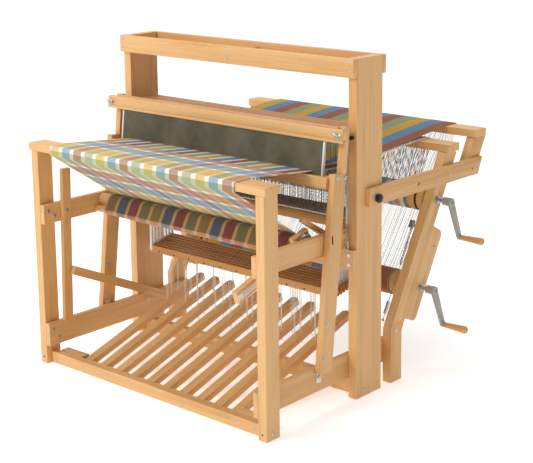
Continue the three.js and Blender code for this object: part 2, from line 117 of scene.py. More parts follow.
# %% Helpers for colours, nodes and lamps
def linear(hex_colour):
    """An sRGB hex colour as linear red, green, blue and alpha."""
    parts = [int(hex_colour[k:k + 2], 16) / 255 for k in (1, 3, 5)]
    return [c / 12.92 if c <= 0.04045 else ((c + 0.055) / 1.055) ** 2.4 for c in parts] + [1.0]


def node(tree, kind, values=None, links=None, stops=None, **settings):
    """Adds a node with its settings, its sockets' values, the links into it and any colour stops."""
    made = tree.nodes.new(kind)
    for k, (place, colour) in enumerate(stops or []):
        element = made.color_ramp.elements[k] if k < 2 else made.color_ramp.elements.new(1.0)
        element.position, element.color = place, linear(colour)
    for name, value in settings.items():
        setattr(made, name, value)
    for name, value in (values or {}).items():
        made.inputs[name].default_value = value
    for name, source in (links or {}).items():
        tree.links.new(source, made.inputs[name])
    return made


def fresh_material(name, **values):
    """A new material with one Principled shader; values are its constant sockets."""
    made = bpy.data.materials.new(name)
    made.use_nodes = True
    shader = made.node_tree.nodes["Principled BSDF"]
    for socket, value in values.items():
        shader.inputs[socket.replace("_", " ")].default_value = value
    return made, made.node_tree, shader


def feed(shader, **sources):
    """Links a source into each named socket of a shader."""
    for socket, source in sources.items():
        shader.id_data.links.new(source, shader.inputs[socket.replace("_", " ")])


def soft_lamp(name, place, aim, size, power):
    """A square area lamp, aimed at a point; size in metres and power in watts."""
    lamp = bpy.data.lights.new(name, "AREA")
    lamp.size, lamp.energy = size, power
    holder = bpy.data.objects.new(name, lamp)
    holder.location = place
    holder.rotation_mode = "QUATERNION"
    holder.rotation_quaternion = (Vector(aim) - Vector(place)).to_track_quat("-Z", "Y")
    bpy.context.scene.collection.objects.link(holder)


# %% Floor, world and lamps
floor_mesh = bmesh.new()
bmesh.ops.create_grid(floor_mesh, x_segments=1, y_segments=1, size=30)
floor_data = bpy.data.meshes.new("studio_floor")
floor_mesh.to_mesh(floor_data)
floor_mesh.free()
studio_floor = bpy.data.objects.new("studio_floor", floor_data)
studio_floor.location.z = -0.0005
bpy.context.scene.collection.objects.link(studio_floor)
paper, _, _ = fresh_material("seamless_paper", Base_Color=linear("#fbfaf8"), Roughness=0.95,
                             Emission_Color=linear("#ffffff"), Emission_Strength=0.4)
floor_data.materials.append(paper)

world = bpy.data.worlds.new("studio")
bpy.context.scene.world = world
world.use_nodes = True
sky = world.node_tree
sky.nodes["Background"].inputs["Color"].default_value = linear("#ffffff")
sky_place = node(sky, "ShaderNodeTexCoord").outputs["Generated"]
sky_side = node(sky, "ShaderNodeSeparateXYZ", None, {"Vector": sky_place}).outputs["X"]
sky_power = node(sky, "ShaderNodeMapRange", {"From Min": -0.35, "From Max": 0.9, "To Min": 0.92,
                 "To Max": 0.24}, {"Value": sky_side})
sky.links.new(sky_power.outputs["Result"], sky.nodes["Background"].inputs["Strength"])
soft_lamp("key_softbox", (-1.6, -3.6, 3.4), (0, 0, 0.5), 1.6, 76)
soft_lamp("side_softbox", (3.6, -1.6, 3.0), (0, 0.1, 0.5), 1.8, 3)
soft_lamp("top_softbox", (0.2, 0.4, 4.2), (0, 0, 0.4), 2.2, 34)
bpy.context.scene.view_settings.view_transform = "Standard"

# %% [markdown]
# ## Hard maple, sanded and oiled
# Maple is pale and close-grained: broad soft bands a few centimetres wide run along each board,
# thin darker growth lines 2 to 4 mm apart sit on them, and short brown flecks under a millimetre
# wide show where rays are cut. The oil leaves a satin gloss that varies a little. Each board keeps
# its own grain direction in an attribute, with x along the board, so one material serves them all.

# %% Maple
def make_maple(name, pale, honey, dark):
    """Maple from its pale and honey bands to the dark tone that some boards lean towards."""
    made, tree, shader = fresh_material(name, Roughness=0.42, IOR=1.5, Coat_Weight=0.12,
                                        Coat_Roughness=0.3)
    grain = node(tree, "ShaderNodeAttribute", attribute_name="grain").outputs["Vector"]
    band_place = node(tree, "ShaderNodeMapping", {"Scale": (1.6, 26, 26)}, {"Vector": grain})
    bands = node(tree, "ShaderNodeTexNoise", {"Scale": 1.0, "Detail": 3.0, "Roughness": 0.55,
                 "Distortion": 0.8}, {"Vector": band_place.outputs["Vector"]})
    line_place = node(tree, "ShaderNodeMapping", {"Scale": (5, 300, 300)}, {"Vector": grain})
    lines = node(tree, "ShaderNodeTexNoise", {"Scale": 1.0, "Detail": 4.0, "Roughness": 0.6},
                 {"Vector": line_place.outputs["Vector"]})
    fleck_place = node(tree, "ShaderNodeMapping", {"Scale": (90, 900, 900)}, {"Vector": grain})
    flecks = node(tree, "ShaderNodeTexNoise", {"Scale": 1.0, "Detail": 1.0},
                  {"Vector": fleck_place.outputs["Vector"]})
    base = node(tree, "ShaderNodeValToRGB", None, {"Fac": bands.outputs["Fac"]},
                [(0.3, honey), (0.5, pale), (0.72, pale)]).outputs["Color"]
    growth = node(tree, "ShaderNodeValToRGB", None, {"Fac": lines.outputs["Fac"]},
                  [(0.36, "#9a9a9a"), (0.5, "#ffffff")]).outputs["Color"]
    fleck = node(tree, "ShaderNodeValToRGB", None, {"Fac": flecks.outputs["Fac"]},
                 [(0.27, "#8c8c8c"), (0.35, "#ffffff")]).outputs["Color"]
    tinted = node(tree, "ShaderNodeMix", {0: 0.17}, {6: base, 7: growth}, data_type="RGBA",
                  blend_type="MULTIPLY")
    flecked = node(tree, "ShaderNodeMix", {0: 0.3}, {6: tinted.outputs[2], 7: fleck}, data_type="RGBA",
                   blend_type="MULTIPLY")
    board_tone = node(tree, "ShaderNodeAttribute", attribute_name="board_tone").outputs["Fac"]
    darker = node(tree, "ShaderNodeMix", {7: linear(dark)}, {0: board_tone, 6: flecked.outputs[2]},
                  data_type="RGBA")
    gloss = node(tree, "ShaderNodeMapRange", {"To Min": 0.36, "To Max": 0.52},
                 {"Value": bands.outputs["Fac"]})
    bump = node(tree, "ShaderNodeBump", {"Strength": 0.12, "Distance": 0.0004},
                {"Height": lines.outputs["Fac"]})
    feed(shader, Base_Color=darker.outputs[2], Roughness=gloss.outputs["Result"],
         Normal=bump.outputs["Normal"])
    return made


maple = make_maple("oiled_hard_maple", "#e3b274", "#d49f5d", "#bd7f3c")
# painted shade: a darker copy of the maple for the lamms and shafts, which hang in shade inside the
# castle
shaded_maple = make_maple("painted_shade_maple", "#d3994f", "#c08640", "#a56c2c")
print("woods", maple.name, shaded_maple.name)

# %% [markdown]
# ## Boards
# A planed board has edges eased with a sanding block, about a millimetre and a half, which catch a
# thin line of light. Each board is a copy of its CAD solid with doubles merged and flat faces
# joined, so a bevel can run along every sharp edge. Where the CAD fused several boards into one
# solid, the boards are made apart, so their seams show.

# %% Board helpers
draw = random.Random(11)
EASE = 0.0016               # metres that an edge is eased by
SHARP = math.radians(30)    # an edge that turns more than this is eased
FLAT = math.radians(1)      # faces that turn less than this are joined


def finish_piece(name, shape, material, body, replaces=(), smooth=26):
    """Turns a bmesh into a piece that rides on a body, smooth up to an angle in degrees."""
    bmesh.ops.recalc_face_normals(shape, faces=shape.faces)
    data = bpy.data.meshes.new(name)
    shape.to_mesh(data)
    shape.free()
    for face in data.polygons:
        face.use_smooth = True
    data.set_sharp_from_angle(angle=math.radians(smooth))
    data.materials.append(material)
    made = bpy.data.objects.new(name, data)
    bpy.context.scene.collection.objects.link(made)
    if body:
        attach(made, body)
    if replaces:
        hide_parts(*replaces)
    return made


def grain_layers(shape):
    """The two layers of a bmesh that hold its grain and its board's tone."""
    return (shape.verts.layers.float_vector.get("grain") or
            shape.verts.layers.float_vector.new("grain"),
            shape.verts.layers.float.get("board_tone") or
            shape.verts.layers.float.new("board_tone"))


def lay_grain(shape, verts, direction):
    """Writes each point's place along and across the board, from a random place in the tree."""
    grain, tone = grain_layers(shape)
    length = Vector(direction).normalized()
    upright = abs(length.z) > 0.8
    across = length.cross(Vector((1, 0, 0) if upright else (0, 0, 1))).normalized()
    through = length.cross(across)
    start = Vector((draw.uniform(0, 40), draw.uniform(0, 3), draw.uniform(0, 3)))
    shade = draw.uniform(0.0, 0.22)
    for vert in verts:
        vert[grain] = start + Vector([vert.co.dot(way) for way in (length, across, through)])
        vert[tone] = shade


def ease_edges(shape, width=EASE):
    """Bevels every sharp edge of a closed shape."""
    sharp = [e for e in shape.edges if len(e.link_faces) == 2 and e.calc_face_angle(0) > SHARP]
    bmesh.ops.bevel(shape, geom=sharp, offset=width, offset_type="OFFSET", segments=2,
                    affect="EDGES", profile=0.5, material=-1, clamp_overlap=True)


def copy_of(cad_node):
    """A clean copy of a CAD solid: doubles merged and flat faces joined."""
    shape = bmesh.new()
    shape.from_mesh(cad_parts[cad_node].data)
    for layer in list(shape.loops.layers.uv.values()):
        shape.loops.layers.uv.remove(layer)
    bmesh.ops.remove_doubles(shape, verts=shape.verts, dist=2e-5)
    bmesh.ops.dissolve_limit(shape, angle_limit=FLAT, verts=shape.verts, edges=shape.edges)
    return shape


def board(cad_node, body, direction, material=None, width=EASE):
    """One CAD solid as an eased board with its grain along direction."""
    shape = copy_of(cad_node)
    ease_edges(shape, width=width)
    lay_grain(shape, shape.verts, direction)
    return finish_piece(cad_node + "_board", shape, material or maple, body, [cad_node])


def plank(shape, low, high, direction, turn=None, width=EASE):
    """Adds an eased board between two corners of the drawing, turned about a centre by an angle."""
    extra = bmesh.new()
    bmesh.ops.create_cube(extra, size=1)
    a, b = at(*low), at(*high)
    bmesh.ops.scale(extra, vec=b - a, verts=extra.verts)
    bmesh.ops.translate(extra, vec=(a + b) / 2, verts=extra.verts)
    ease_edges(extra, width=width)
    if turn:
        centre, angle = turn
        bmesh.ops.rotate(extra, cent=centre, matrix=Matrix.Rotation(angle, 3, "X"), verts=extra.verts)
    lay_grain(extra, extra.verts, direction)
    add_to(shape, extra)


def add_to(shape, extra):
    """Moves one bmesh's geometry into another."""
    carrier = bpy.data.meshes.new("carrier")
    extra.to_mesh(carrier)
    extra.free()
    grain_layers(shape)
    shape.from_mesh(carrier)
    bpy.data.meshes.remove(carrier)


ALONG_X, ALONG_Y, ALONG_Z = (1, 0, 0), (0, 1, 0), (0, 0, 1)
SIDES = (("left", -1), ("right", 1))
for side, _ in SIDES:
    board(side + "_front_post", "frame", ALONG_Z)
    board(side + "_upper_rail", "frame", ALONG_Y)
    board(side + "_lower_rail", "frame", ALONG_Y)
    board(side + "_castle_post", "frame", ALONG_Z)
    board(side + "_rear_leg", "frame", ALONG_Z)
board("breast_beam", "frame", ALONG_X, width=0.003)
board("front_rail", "frame", ALONG_X)
board("castle_foot_rail", "frame", ALONG_X)
board("shaft_guide_board", "frame", ALONG_X)
print("frame boards eased")

# %% [markdown]
# The tray on top of the castle is four boards: two long ones screwed to the posts' faces, a thin
# floor between them and a divider in the middle.

# %% Castle tray
tray = bmesh.new()
plank(tray, (-536, 418.2, 1060), (536, 435.7, 1120), ALONG_X)
plank(tray, (-536, 568.3, 1060), (536, 585.8, 1120), ALONG_X)
plank(tray, (-501.8, 435.8, 1068), (501.8, 568.2, 1077), ALONG_X, width=0.0006)
plank(tray, (-6, 435.9, 1077.1), (6, 568.1, 1104), ALONG_Y)
finish_piece("tray_boards", tray, maple, "frame", ["castle_tray"])
print("tray of 4 boards")

# %% [markdown]
# The back posts lean away and fold at their knuckles. A doubler glued behind each post carries the
# lower warp beam, and its seam shows as a fine dark line, so a cutting plane parts the two boards.

# %% Back posts, braces and back beams
POST_DIRECTION = (0, math.sin(BACK_LEAN), math.cos(BACK_LEAN))
ACROSS_POST = Vector((0, math.cos(BACK_LEAN), -math.sin(BACK_LEAN)))


def parted(cad_node, body, point, normal, directions, gap=0.0004):
    """A CAD solid sawn along a plane into two eased boards, each with its own grain direction."""
    whole = bmesh.new()
    for sign, direction in zip((1, -1), directions):
        half, facing = copy_of(cad_node), Vector(normal) * sign
        bmesh.ops.bisect_plane(half, geom=half.verts[:] + half.edges[:] + half.faces[:],
                               plane_co=point - facing * gap / 2, plane_no=facing,
                               clear_outer=True, dist=1e-6)
        rim = [e for e in half.edges if e.is_boundary]
        bmesh.ops.holes_fill(half, edges=rim, sides=0)
        bmesh.ops.dissolve_limit(half, angle_limit=FLAT, verts=half.verts, edges=half.edges)
        ease_edges(half, width=0.0011)
        lay_grain(half, half.verts, direction)
        add_to(whole, half)
    return finish_piece(cad_node + "_boards", whole, maple, body, [cad_node])


seam_y, seam_z = along_post(30, 200)
BRACE_SEAM = 536.3          # mm from the middle to where a brace meets its short post
for side, sign in SIDES:
    parted(side + "_back_post", "back_frame", at(0, seam_y, seam_z), ACROSS_POST,
           (POST_DIRECTION, POST_DIRECTION))
    parted(side + "_brace", "back_frame", at(sign * BRACE_SEAM, 0, 0), ALONG_X,
           (ALONG_Y, POST_DIRECTION)[::-sign])
board("front_back_beam", "back_frame", ALONG_X, width=0.0025)
board("rear_back_beam", "back_frame", ALONG_X, width=0.0025)
print("folding back made")

# %% [markdown]
# The beater swings from pivots low on the posts. Each arm is a wide lower board with a narrower
# upright screwed on top, the race is one grooved rail, and the handle is a grooved bar with a
# plain bar behind it.

# %% Beater boards
PIVOT_Y, PIVOT_Z = 285, 118
PIVOT = at(0, PIVOT_Y, PIVOT_Z)
ARM_DIRECTION = (0, math.sin(BEATER_LEAN), math.cos(BEATER_LEAN))
TURN = (PIVOT, -BEATER_LEAN)
BACKWARD = Matrix.Rotation(-BEATER_LEAN, 3, "X")
for side, sign in SIDES:
    arm = bmesh.new()
    near, far = sorted((sign * 504.3, sign * 528.3))
    plank(arm, (near, 261, 133), (far, 319, 770), ARM_DIRECTION, TURN)
    plank(arm, (near, 298, 770.2), (far, 319, 918), ARM_DIRECTION, TURN)
    finish_piece(side + "_arm_boards", arm, maple, "beater", [side + "_beater_arm"])
board("beater_race", "beater", ALONG_X)
bars = bmesh.new()
plank(bars, (-541, 268, 878), (541, 290, 911), ALONG_X, TURN, 0.0025)
plank(bars, (-541, 268, 868), (541, 274.9, 878), ALONG_X, TURN, 0.001)
plank(bars, (-541, 285.1, 868), (541, 290, 878), ALONG_X, TURN, 0.001)
plank(bars, (-503.5, 290.2, 880), (503.5, 315, 915), ALONG_X, TURN, 0.0025)
finish_piece("hand_bar_boards", bars, maple, "beater", ["beater_top_bars"])
print("beater boards made")

# %% [markdown]
# Treadles, lamms, shafts and levers are plain slats. The lamms and shafts take a darker maple,
# which is painted shade for the shade they hang in inside the castle. Each shaft's end is closed by a
# flat aluminium strap, so the shaft is made of its two bars here and the straps come with the wire.

# %% Treadles, lamms, shafts and levers
TREADLE_TILT = math.radians(17.8)
TREADLE_PITCH = 77.7
TREADLE_DIRECTION = (0, math.cos(TREADLE_TILT), math.sin(TREADLE_TILT))
for k in range(1, 11):
    board(f"treadle_{k}", f"treadle_{k}_body", TREADLE_DIRECTION, width=0.002)
SHAFT_Y = [446.5 + 15.4 * k for k in range(8)]
for k, y in enumerate(SHAFT_Y, 1):
    board(f"lamm_{k}", f"lamm_{k}_body", ALONG_X, shaded_maple, 0.001)
    bar = bmesh.new()
    for low, high in ((566, 597), (857, 888)):
        plank(bar, (-486, y - 4.5, low), (486, y + 4.5, high), ALONG_X, width=0.001)
    finish_piece(f"shaft_{k}_bars", bar, shaded_maple, f"shaft_{k}_body", [f"shaft_{k}"])
board("side_lever", "side_lever_body", ALONG_Z)
board("brake_pedal", "brake_pedal_body", (0, math.cos(0.43), -math.sin(0.43)))
board("advance_handle", "advance_handle_body", (0, 1, 0.3))
print("slats and levers made")

# %% [markdown]
# ## Metal, plastic and cord
# Bolts and screws are zinc-plated steel, bright and faintly blue. The cranks are cast zinc alloy
# with a pebbled grey skin. Straps are brushed aluminium, heddles are thin spring wire, and the
# reed's dents are rolled steel. Knobs are black moulded plastic. Tie-ups are white cotton cord.

# %% Hardware finishes
def speckled(name, light, dark, grain_mm, low, high, bump, **values):
    """A finish whose tone, gloss and relief follow a fine noise of a real size."""
    made, tree, shader = fresh_material(name, **values)
    place = node(tree, "ShaderNodeTexCoord").outputs["Object"]
    skin = node(tree, "ShaderNodeTexNoise", {"Scale": 1000 / grain_mm, "Detail": 3.0},
                {"Vector": place}).outputs["Fac"]
    tone = node(tree, "ShaderNodeValToRGB", None, {"Fac": skin}, [(0.3, dark), (0.7, light)])
    gloss = node(tree, "ShaderNodeMapRange", {"To Min": low, "To Max": high}, {"Value": skin})
    relief = node(tree, "ShaderNodeBump", {"Strength": bump, "Distance": 0.0003}, {"Height": skin})
    feed(shader, Base_Color=tone.outputs["Color"], Roughness=gloss.outputs["Result"],
         Normal=relief.outputs["Normal"])
    return made


zinc_plate = speckled("zinc_plated_steel", "#ccd4da", "#9aa4ae", 6, 0.22, 0.4, 0.05, Metallic=1.0)
cast_zinc = speckled("cast_zinc_alloy", "#b4b5ae", "#9a9b94", 1.5, 0.45, 0.62, 0.4, Metallic=0.35)
strap_metal = speckled("brushed_aluminium", "#ecebe7", "#cfcfcb", 4, 0.35, 0.5, 0.05, Metallic=0.35)
heddle_wire = speckled("spring_wire", "#b9b3a6", "#6e675a", 12, 0.25, 0.4, 0.0, Metallic=1.0)
reed_steel = speckled("rolled_reed_steel", "#a09a84", "#857e69", 60, 0.45, 0.6, 0.0, Metallic=0.3)
black_plastic = speckled("moulded_black_plastic", "#1b1c1e", "#0e0f10", 1.2, 0.38, 0.5, 0.25, IOR=1.46)
# painted shade: the dark brown stands for the shade inside a hole
bore_shadow = speckled("painted_shadow_inside_a_hole", "#2b1a0d", "#170d06", 3, 0.8, 0.9, 0.0)
cotton_cord = speckled("white_cotton_cord", "#f4f1ea", "#d6d2c6", 2.5, 0.85, 0.95, 0.6, Sheen_Weight=0.3)
# leather of the brake bands, also used as painted shade for the insides of the beater arm slots
leather_and_slot_shade = speckled("brake_leather_and_slot_shade", "#5c3414", "#33200f", 3, 0.55, 0.7, 0.3, IOR=1.45)
print("hardware finishes made")

# %% [markdown]
# Most hardware is turned: a profile of distances and radii spun about an axis. One lathe helper
# makes rollers, bosses, grips, knobs, bolt heads and washers.

# %% Lathe, slab and wire helpers
def turned(shape, origin, axis, profile, steps=24):
    """Spins a profile of (distance along the axis, radius), in mm, about an axis through origin."""
    axis = Vector(axis).normalized()
    side = axis.orthogonal().normalized()
    verts = [shape.verts.new(Vector(origin) + axis * (d / 1000) + side * (max(r, 0) / 1000))
             for d, r in profile]
    edges = [shape.edges.new(pair) for pair in zip(verts, verts[1:])]
    bmesh.ops.spin(shape, geom=verts + edges, cent=origin, axis=axis, angle=2 * math.pi,
                   steps=steps, use_merge=True)
    bmesh.ops.remove_doubles(shape, verts=shape.verts, dist=1e-6)


def verts_of(geom):
    """The vertices in what an operator returned."""
    return [g for g in geom if isinstance(g, bmesh.types.BMVert)]


def extruded(shape, outline, low, high, width):
    """A slab with an outline in the drawing's Y and Z, from x low to x high, with eased edges."""
    extra = bmesh.new()
    face = extra.faces.new([extra.verts.new(at(low, y, z)) for y, z in outline])
    grown = bmesh.ops.extrude_face_region(extra, geom=[face])["geom"]
    bmesh.ops.translate(extra, vec=((high - low) / 1000, 0, 0), verts=verts_of(grown))
    bmesh.ops.recalc_face_normals(extra, faces=extra.faces)
    ease_edges(extra, width=width)
    add_to(shape, extra)


def wire(shape, points, radius, sides=6, closed_ends=True):
    """A round wire through points of the frame, extruded ring by ring; radius in mm."""
    directions = []
    for k in range(len(points)):
        before, after = points[max(k - 1, 0)], points[min(k + 1, len(points) - 1)]
        directions.append((after - before).normalized())
    first = bmesh.ops.create_circle(shape, segments=sides, radius=radius / 1000)["verts"]
    turn = directions[0].to_track_quat("Z", "Y")
    bmesh.ops.rotate(shape, cent=(0, 0, 0), matrix=turn.to_matrix(), verts=first)
    bmesh.ops.translate(shape, vec=points[0], verts=first)
    rim = list({e for v in first for e in v.link_edges})
    ends = [rim]
    for k in range(1, len(points)):
        grown = bmesh.ops.extrude_edge_only(shape, edges=rim)["geom"]
        verts = verts_of(grown)
        rim = [g for g in grown if isinstance(g, bmesh.types.BMEdge) and all(v in verts for v in g.verts)]
        bmesh.ops.translate(shape, vec=points[k] - points[k - 1], verts=verts)
        swing = directions[k - 1].rotation_difference(directions[k])
        bmesh.ops.rotate(shape, cent=points[k], matrix=swing.to_matrix(), verts=verts)
    if closed_ends:
        for loop in (ends[0], rim):
            bmesh.ops.holes_fill(shape, edges=[e for e in loop if e.is_valid], sides=0)


def repeated(shape, geom, offsets):
    """Copies geometry to each offset and leaves the first where it is."""
    for offset in offsets:
        twin = bmesh.ops.duplicate(shape, geom=geom)["geom"]
        bmesh.ops.translate(shape, vec=offset, verts=verts_of(twin))


# %% [markdown]
# ## Reed
# The reed is a comb of flat steel dents, about 12 to the inch, held in two wrapped ribs with a bar
# at each end. Seen across, the dents close up into one dark panel. Each dent is a six-sided strip.

# %% Reed
reed = bmesh.new()
DENTS, REED_HALF = 440, 460
pitch = 2 * REED_HALF / DENTS
bmesh.ops.create_cube(reed, size=1)
bmesh.ops.scale(reed, vec=(0.0007, 0.0078, 0.112), verts=reed.verts)
bmesh.ops.translate(reed, vec=at(-REED_HALF, 280, 811), verts=reed.verts)
repeated(reed, reed.verts[:] + reed.edges[:] + reed.faces[:],
         [(pitch * k / 1000, 0, 0) for k in range(1, DENTS + 1)])
bmesh.ops.rotate(reed, cent=PIVOT, matrix=BACKWARD, verts=reed.verts)
finish_piece("reed_dents", reed, reed_steel, "beater", ["reed"])
ribs = bmesh.new()
for low, high in ((744.5, 756), (866, 877.5)):
    plank(ribs, (-468, 275.5, low), (468, 284.5, high), ALONG_X, TURN, 0.002)
finish_piece("reed_ribs", ribs, reed_steel, "beater")
ends = bmesh.new()
for x in (-468, 461):
    plank(ends, (x, 275.3, 756), (x + 7, 284.7, 866), ALONG_Z, TURN, 0.0008)
finish_piece("reed_end_bars", ends, strap_metal, "beater")
print("reed of", DENTS + 1, "dents")

# %% [markdown]
# ## Shaft straps and heddles
# Every shaft carries wire heddles between two steel bars. A heddle is one twisted wire with a loop
# at each end and an eye in the middle, which its warp thread passes through. Hundreds of them hang
# here, so each is a strip of wire with a six-sided eye and two small end loops.

# %% Heddles
QUARTER_TURN = Matrix.Rotation(math.pi / 2, 3, "X")


def one_heddle(shape, y):
    """The wire of a heddle as two thin strips, and its eye and end loops as three small rings."""
    for low, high in ((604, 743), (755, 850)):
        cube = bmesh.ops.create_cube(shape, size=1)["verts"]
        bmesh.ops.scale(shape, vec=(0.0009, 0.0006, (high - low) / 1000), verts=cube)
        bmesh.ops.translate(shape, vec=at(0, y, (low + high) / 2), verts=cube)
    for z, tall in ((749, 6.4), (600, 4.6), (854, 4.6)):
        ring = bmesh.ops.create_circle(shape, segments=6, radius=tall / 1000)["verts"]
        bmesh.ops.scale(shape, vec=(0.45, 1, 1), verts=ring)
        bmesh.ops.rotate(shape, cent=(0, 0, 0), matrix=QUARTER_TURN, verts=ring)
        bmesh.ops.translate(shape, vec=at(0, y, z), verts=ring)
        edges = list({e for v in ring for e in v.link_edges})
        grown = bmesh.ops.extrude_edge_only(shape, edges=edges)["geom"]
        bmesh.ops.translate(shape, vec=(0, 0.0009, 0), verts=verts_of(grown))


HEDDLES = 54                # on each shaft, over 910 mm of bar
for k, y in enumerate(SHAFT_Y, 1):
    heddles = bmesh.new()
    one_heddle(heddles, y)
    first = heddles.verts[:] + heddles.edges[:] + heddles.faces[:]
    places = [(-455 + 910 * (n + 0.12 * k) / HEDDLES + draw.uniform(-3, 3)) / 1000
              for n in range(HEDDLES)]
    repeated(heddles, first, [(x, 0, 0) for x in places if abs(x) > 0.002])
    open_rings = [f for f in heddles.faces if any(e.is_boundary for e in f.edges)]
    bmesh.ops.solidify(heddles, geom=open_rings, thickness=0.0005)
    finish_piece(f"shaft_{k}_heddles", heddles, heddle_wire, f"shaft_{k}_body")
    straps = bmesh.new()
    for low, high in ((-500, -486), (486, 500)):
        plank(straps, (low, y - 4.4, 566), (high, y + 4.4, 888), ALONG_Z, width=0.0008)
    for z in (600, 854):
        plank(straps, (-486, y - 2, z - 1), (486, y - 0.8, z + 4), ALONG_X, width=0.0003)
    finish_piece(f"shaft_{k}_straps", straps, strap_metal, f"shaft_{k}_body")
print("heddles", 8 * HEDDLES)

# %% [markdown]
# ## Warp
# The warp is fifteen stripes of yellow, blue, rust and sage with white between them. Through the
# reed and the shafts it is one flat sheet of threads. Behind the castle it parts: the coloured
# threads run over the rear back beam to the lower warp beam, and the paler ones over the front back
# beam to the upper one. Cotton is matt and slightly hairy, so it gets a soft sheen. The threads are
# real geometry, 3.6 to 5.9 mm apart, drawn thicker than the real ones so that they show.

# %% Stripe colours
YELLOW, BLUE, RUST, SAGE, WHITE = "#d2a936", "#6791b3", "#a4603f", "#9ba37b", "#ebe7db"
STRIPE = 0.0568             # metres; fifteen of them are the warp's width
WARP_LEFT = at(-426, 0, 0).x


def stripes(tree, coordinate, period, start, stops):
    """Constant colour stripes along a coordinate in metres."""
    place = node(tree, "ShaderNodeMath", {1: -start}, {0: coordinate}, operation="ADD")
    share = node(tree, "ShaderNodeMath", {1: 1 / period}, {0: place.outputs[0]}, operation="MULTIPLY")
    part = node(tree, "ShaderNodeMath", None, {0: share.outputs[0]}, operation="FRACT")
    bands = node(tree, "ShaderNodeValToRGB", None, {"Fac": part.outputs[0]}, stops)
    bands.color_ramp.interpolation = "CONSTANT"
    return bands.outputs["Color"]


FOUR_WITH_WHITE = [(0.0, WHITE), (0.03, YELLOW), (0.2, WHITE), (0.28, BLUE), (0.45, WHITE),
                   (0.53, RUST), (0.7, WHITE), (0.78, SAGE), (0.95, WHITE)]
WEFT_STOPS = [(0.0, RUST), (0.19, WHITE), (0.25, BLUE), (0.44, WHITE), (0.5, YELLOW), (0.69, WHITE),
              (0.75, SAGE), (0.94, WHITE)]
FOUR_PLAIN = [(0.0, YELLOW), (0.25, BLUE), (0.5, RUST), (0.75, SAGE)]
FOUR_PALE = [(0.0, "#ddd0b0"), (0.1, WHITE), (0.17, "#b99d3c"), (0.24, "#8ea6bd"), (0.34, WHITE),
             (0.4, "#7695b3"), (0.5, "#b3bcc0"), (0.56, "#c79d86"), (0.66, WHITE), (0.74, "#7f8566"),
             (0.82, "#c4b79c"), (0.92, WHITE)]
TWIST_MM = 5                # length of a patch of even tone along a twisted yarn


def yarn_material(name, stops):
    """Matt cotton in stripes across the warp, four to a repeat."""
    made, tree, shader = fresh_material(name, Roughness=0.9, Sheen_Weight=0.35, Sheen_Roughness=0.5)
    place = node(tree, "ShaderNodeTexCoord").outputs["Object"]
    split = node(tree, "ShaderNodeSeparateXYZ", None, {"Vector": place})
    colour = stripes(tree, split.outputs["X"], 4 * STRIPE, WARP_LEFT, stops)
    hair = node(tree, "ShaderNodeTexNoise", {"Scale": 1000 / TWIST_MM, "Detail": 2.0},
                {"Vector": place}).outputs["Fac"]
    tone = node(tree, "ShaderNodeValToRGB", None, {"Fac": hair},
                [(0.3, "#c8c8c8"), (0.65, "#ffffff")]).outputs["Color"]
    mixed = node(tree, "ShaderNodeMix", {0: 0.55}, {6: colour, 7: tone}, data_type="RGBA",
                 blend_type="MULTIPLY")
    bump = node(tree, "ShaderNodeBump", {"Strength": 0.4, "Distance": 0.0005}, {"Height": hair})
    feed(shader, Base_Color=mixed.outputs[2], Normal=bump.outputs["Normal"])
    return made


striped_yarn = yarn_material("striped_cotton_warp", FOUR_WITH_WHITE)
coloured_yarn = yarn_material("coloured_cotton_warp", FOUR_PLAIN)
pale_yarn = yarn_material("pale_cotton_warp", FOUR_PALE)


# %% Strings of the warp
def thread_sheet(route, first, count, pitch_mm, radius, wander=0.25):
    """Threads side by side along one route of (y, z) points; each wanders a little sideways."""
    sheet = bmesh.new()
    wire(sheet, [at(0, y, z) for y, z in route], radius, sides=5, closed_ends=False)
    start = sheet.verts[:] + sheet.edges[:] + sheet.faces[:]
    offsets = [(first + pitch_mm * k + draw.uniform(-wander, wander)) / 1000 for k in range(count)]
    repeated(sheet, start, [(x, 0, 0) for x in offsets])
    bmesh.ops.delete(sheet, geom=verts_of(start), context="VERTS")
    return sheet


def arc(centre, radius, start_angle, end_angle, steps):
    """Points on a circle in Y and Z, angles in degrees from +Y towards +Z."""
    angles = [math.radians(start_angle + (end_angle - start_angle) * k / steps) for k in range(steps + 1)]
    return [(centre[0] + radius * math.cos(a), centre[1] + radius * math.sin(a)) for a in angles]


UPPER_BEAM, LOWER_BEAM, WOUND = (884, 586), (792, 295), 46
front_route = [(234, 775.3), (340, 764.8), (446.5, 754.2), (510, 752), (575, 750.6)]
finish_piece("warp_through_reed", thread_sheet(front_route, -424, 236, 3.6, 1.25), striped_yarn,
             "frame", ["warp"])


def over_route(beam_front, beam_top):
    """From the castle over a back beam and round its rear edge."""
    rear = beam_front + 66
    points = [(570 + (beam_front - 570) * k / 5, 750.7 + (beam_top - 749) * k / 5) for k in range(5)]
    points += [(beam_front + 2, beam_top + 1.6), (rear - 3, beam_top + 1.8)]
    return points + arc((rear - 2, beam_top - 2.4), 4.2, 80, 5, 4)


def down_route(beam_front, beam_top, roller):
    """From a back beam's rear face down to the rear of the roller, and a little way round it."""
    start_y, start_z = beam_front + 68.2, beam_top - 30
    end_y, end_z = roller[0] + WOUND + 1.5, roller[1]
    points = [(start_y, beam_top - 2), (start_y, start_z)]
    points += [(start_y + (end_y - start_y) * k / 5, start_z + (end_z - start_z) * k / 5)
               for k in range(1, 5)]
    return points + arc(roller, WOUND + 1.5, 8, -60, 4)


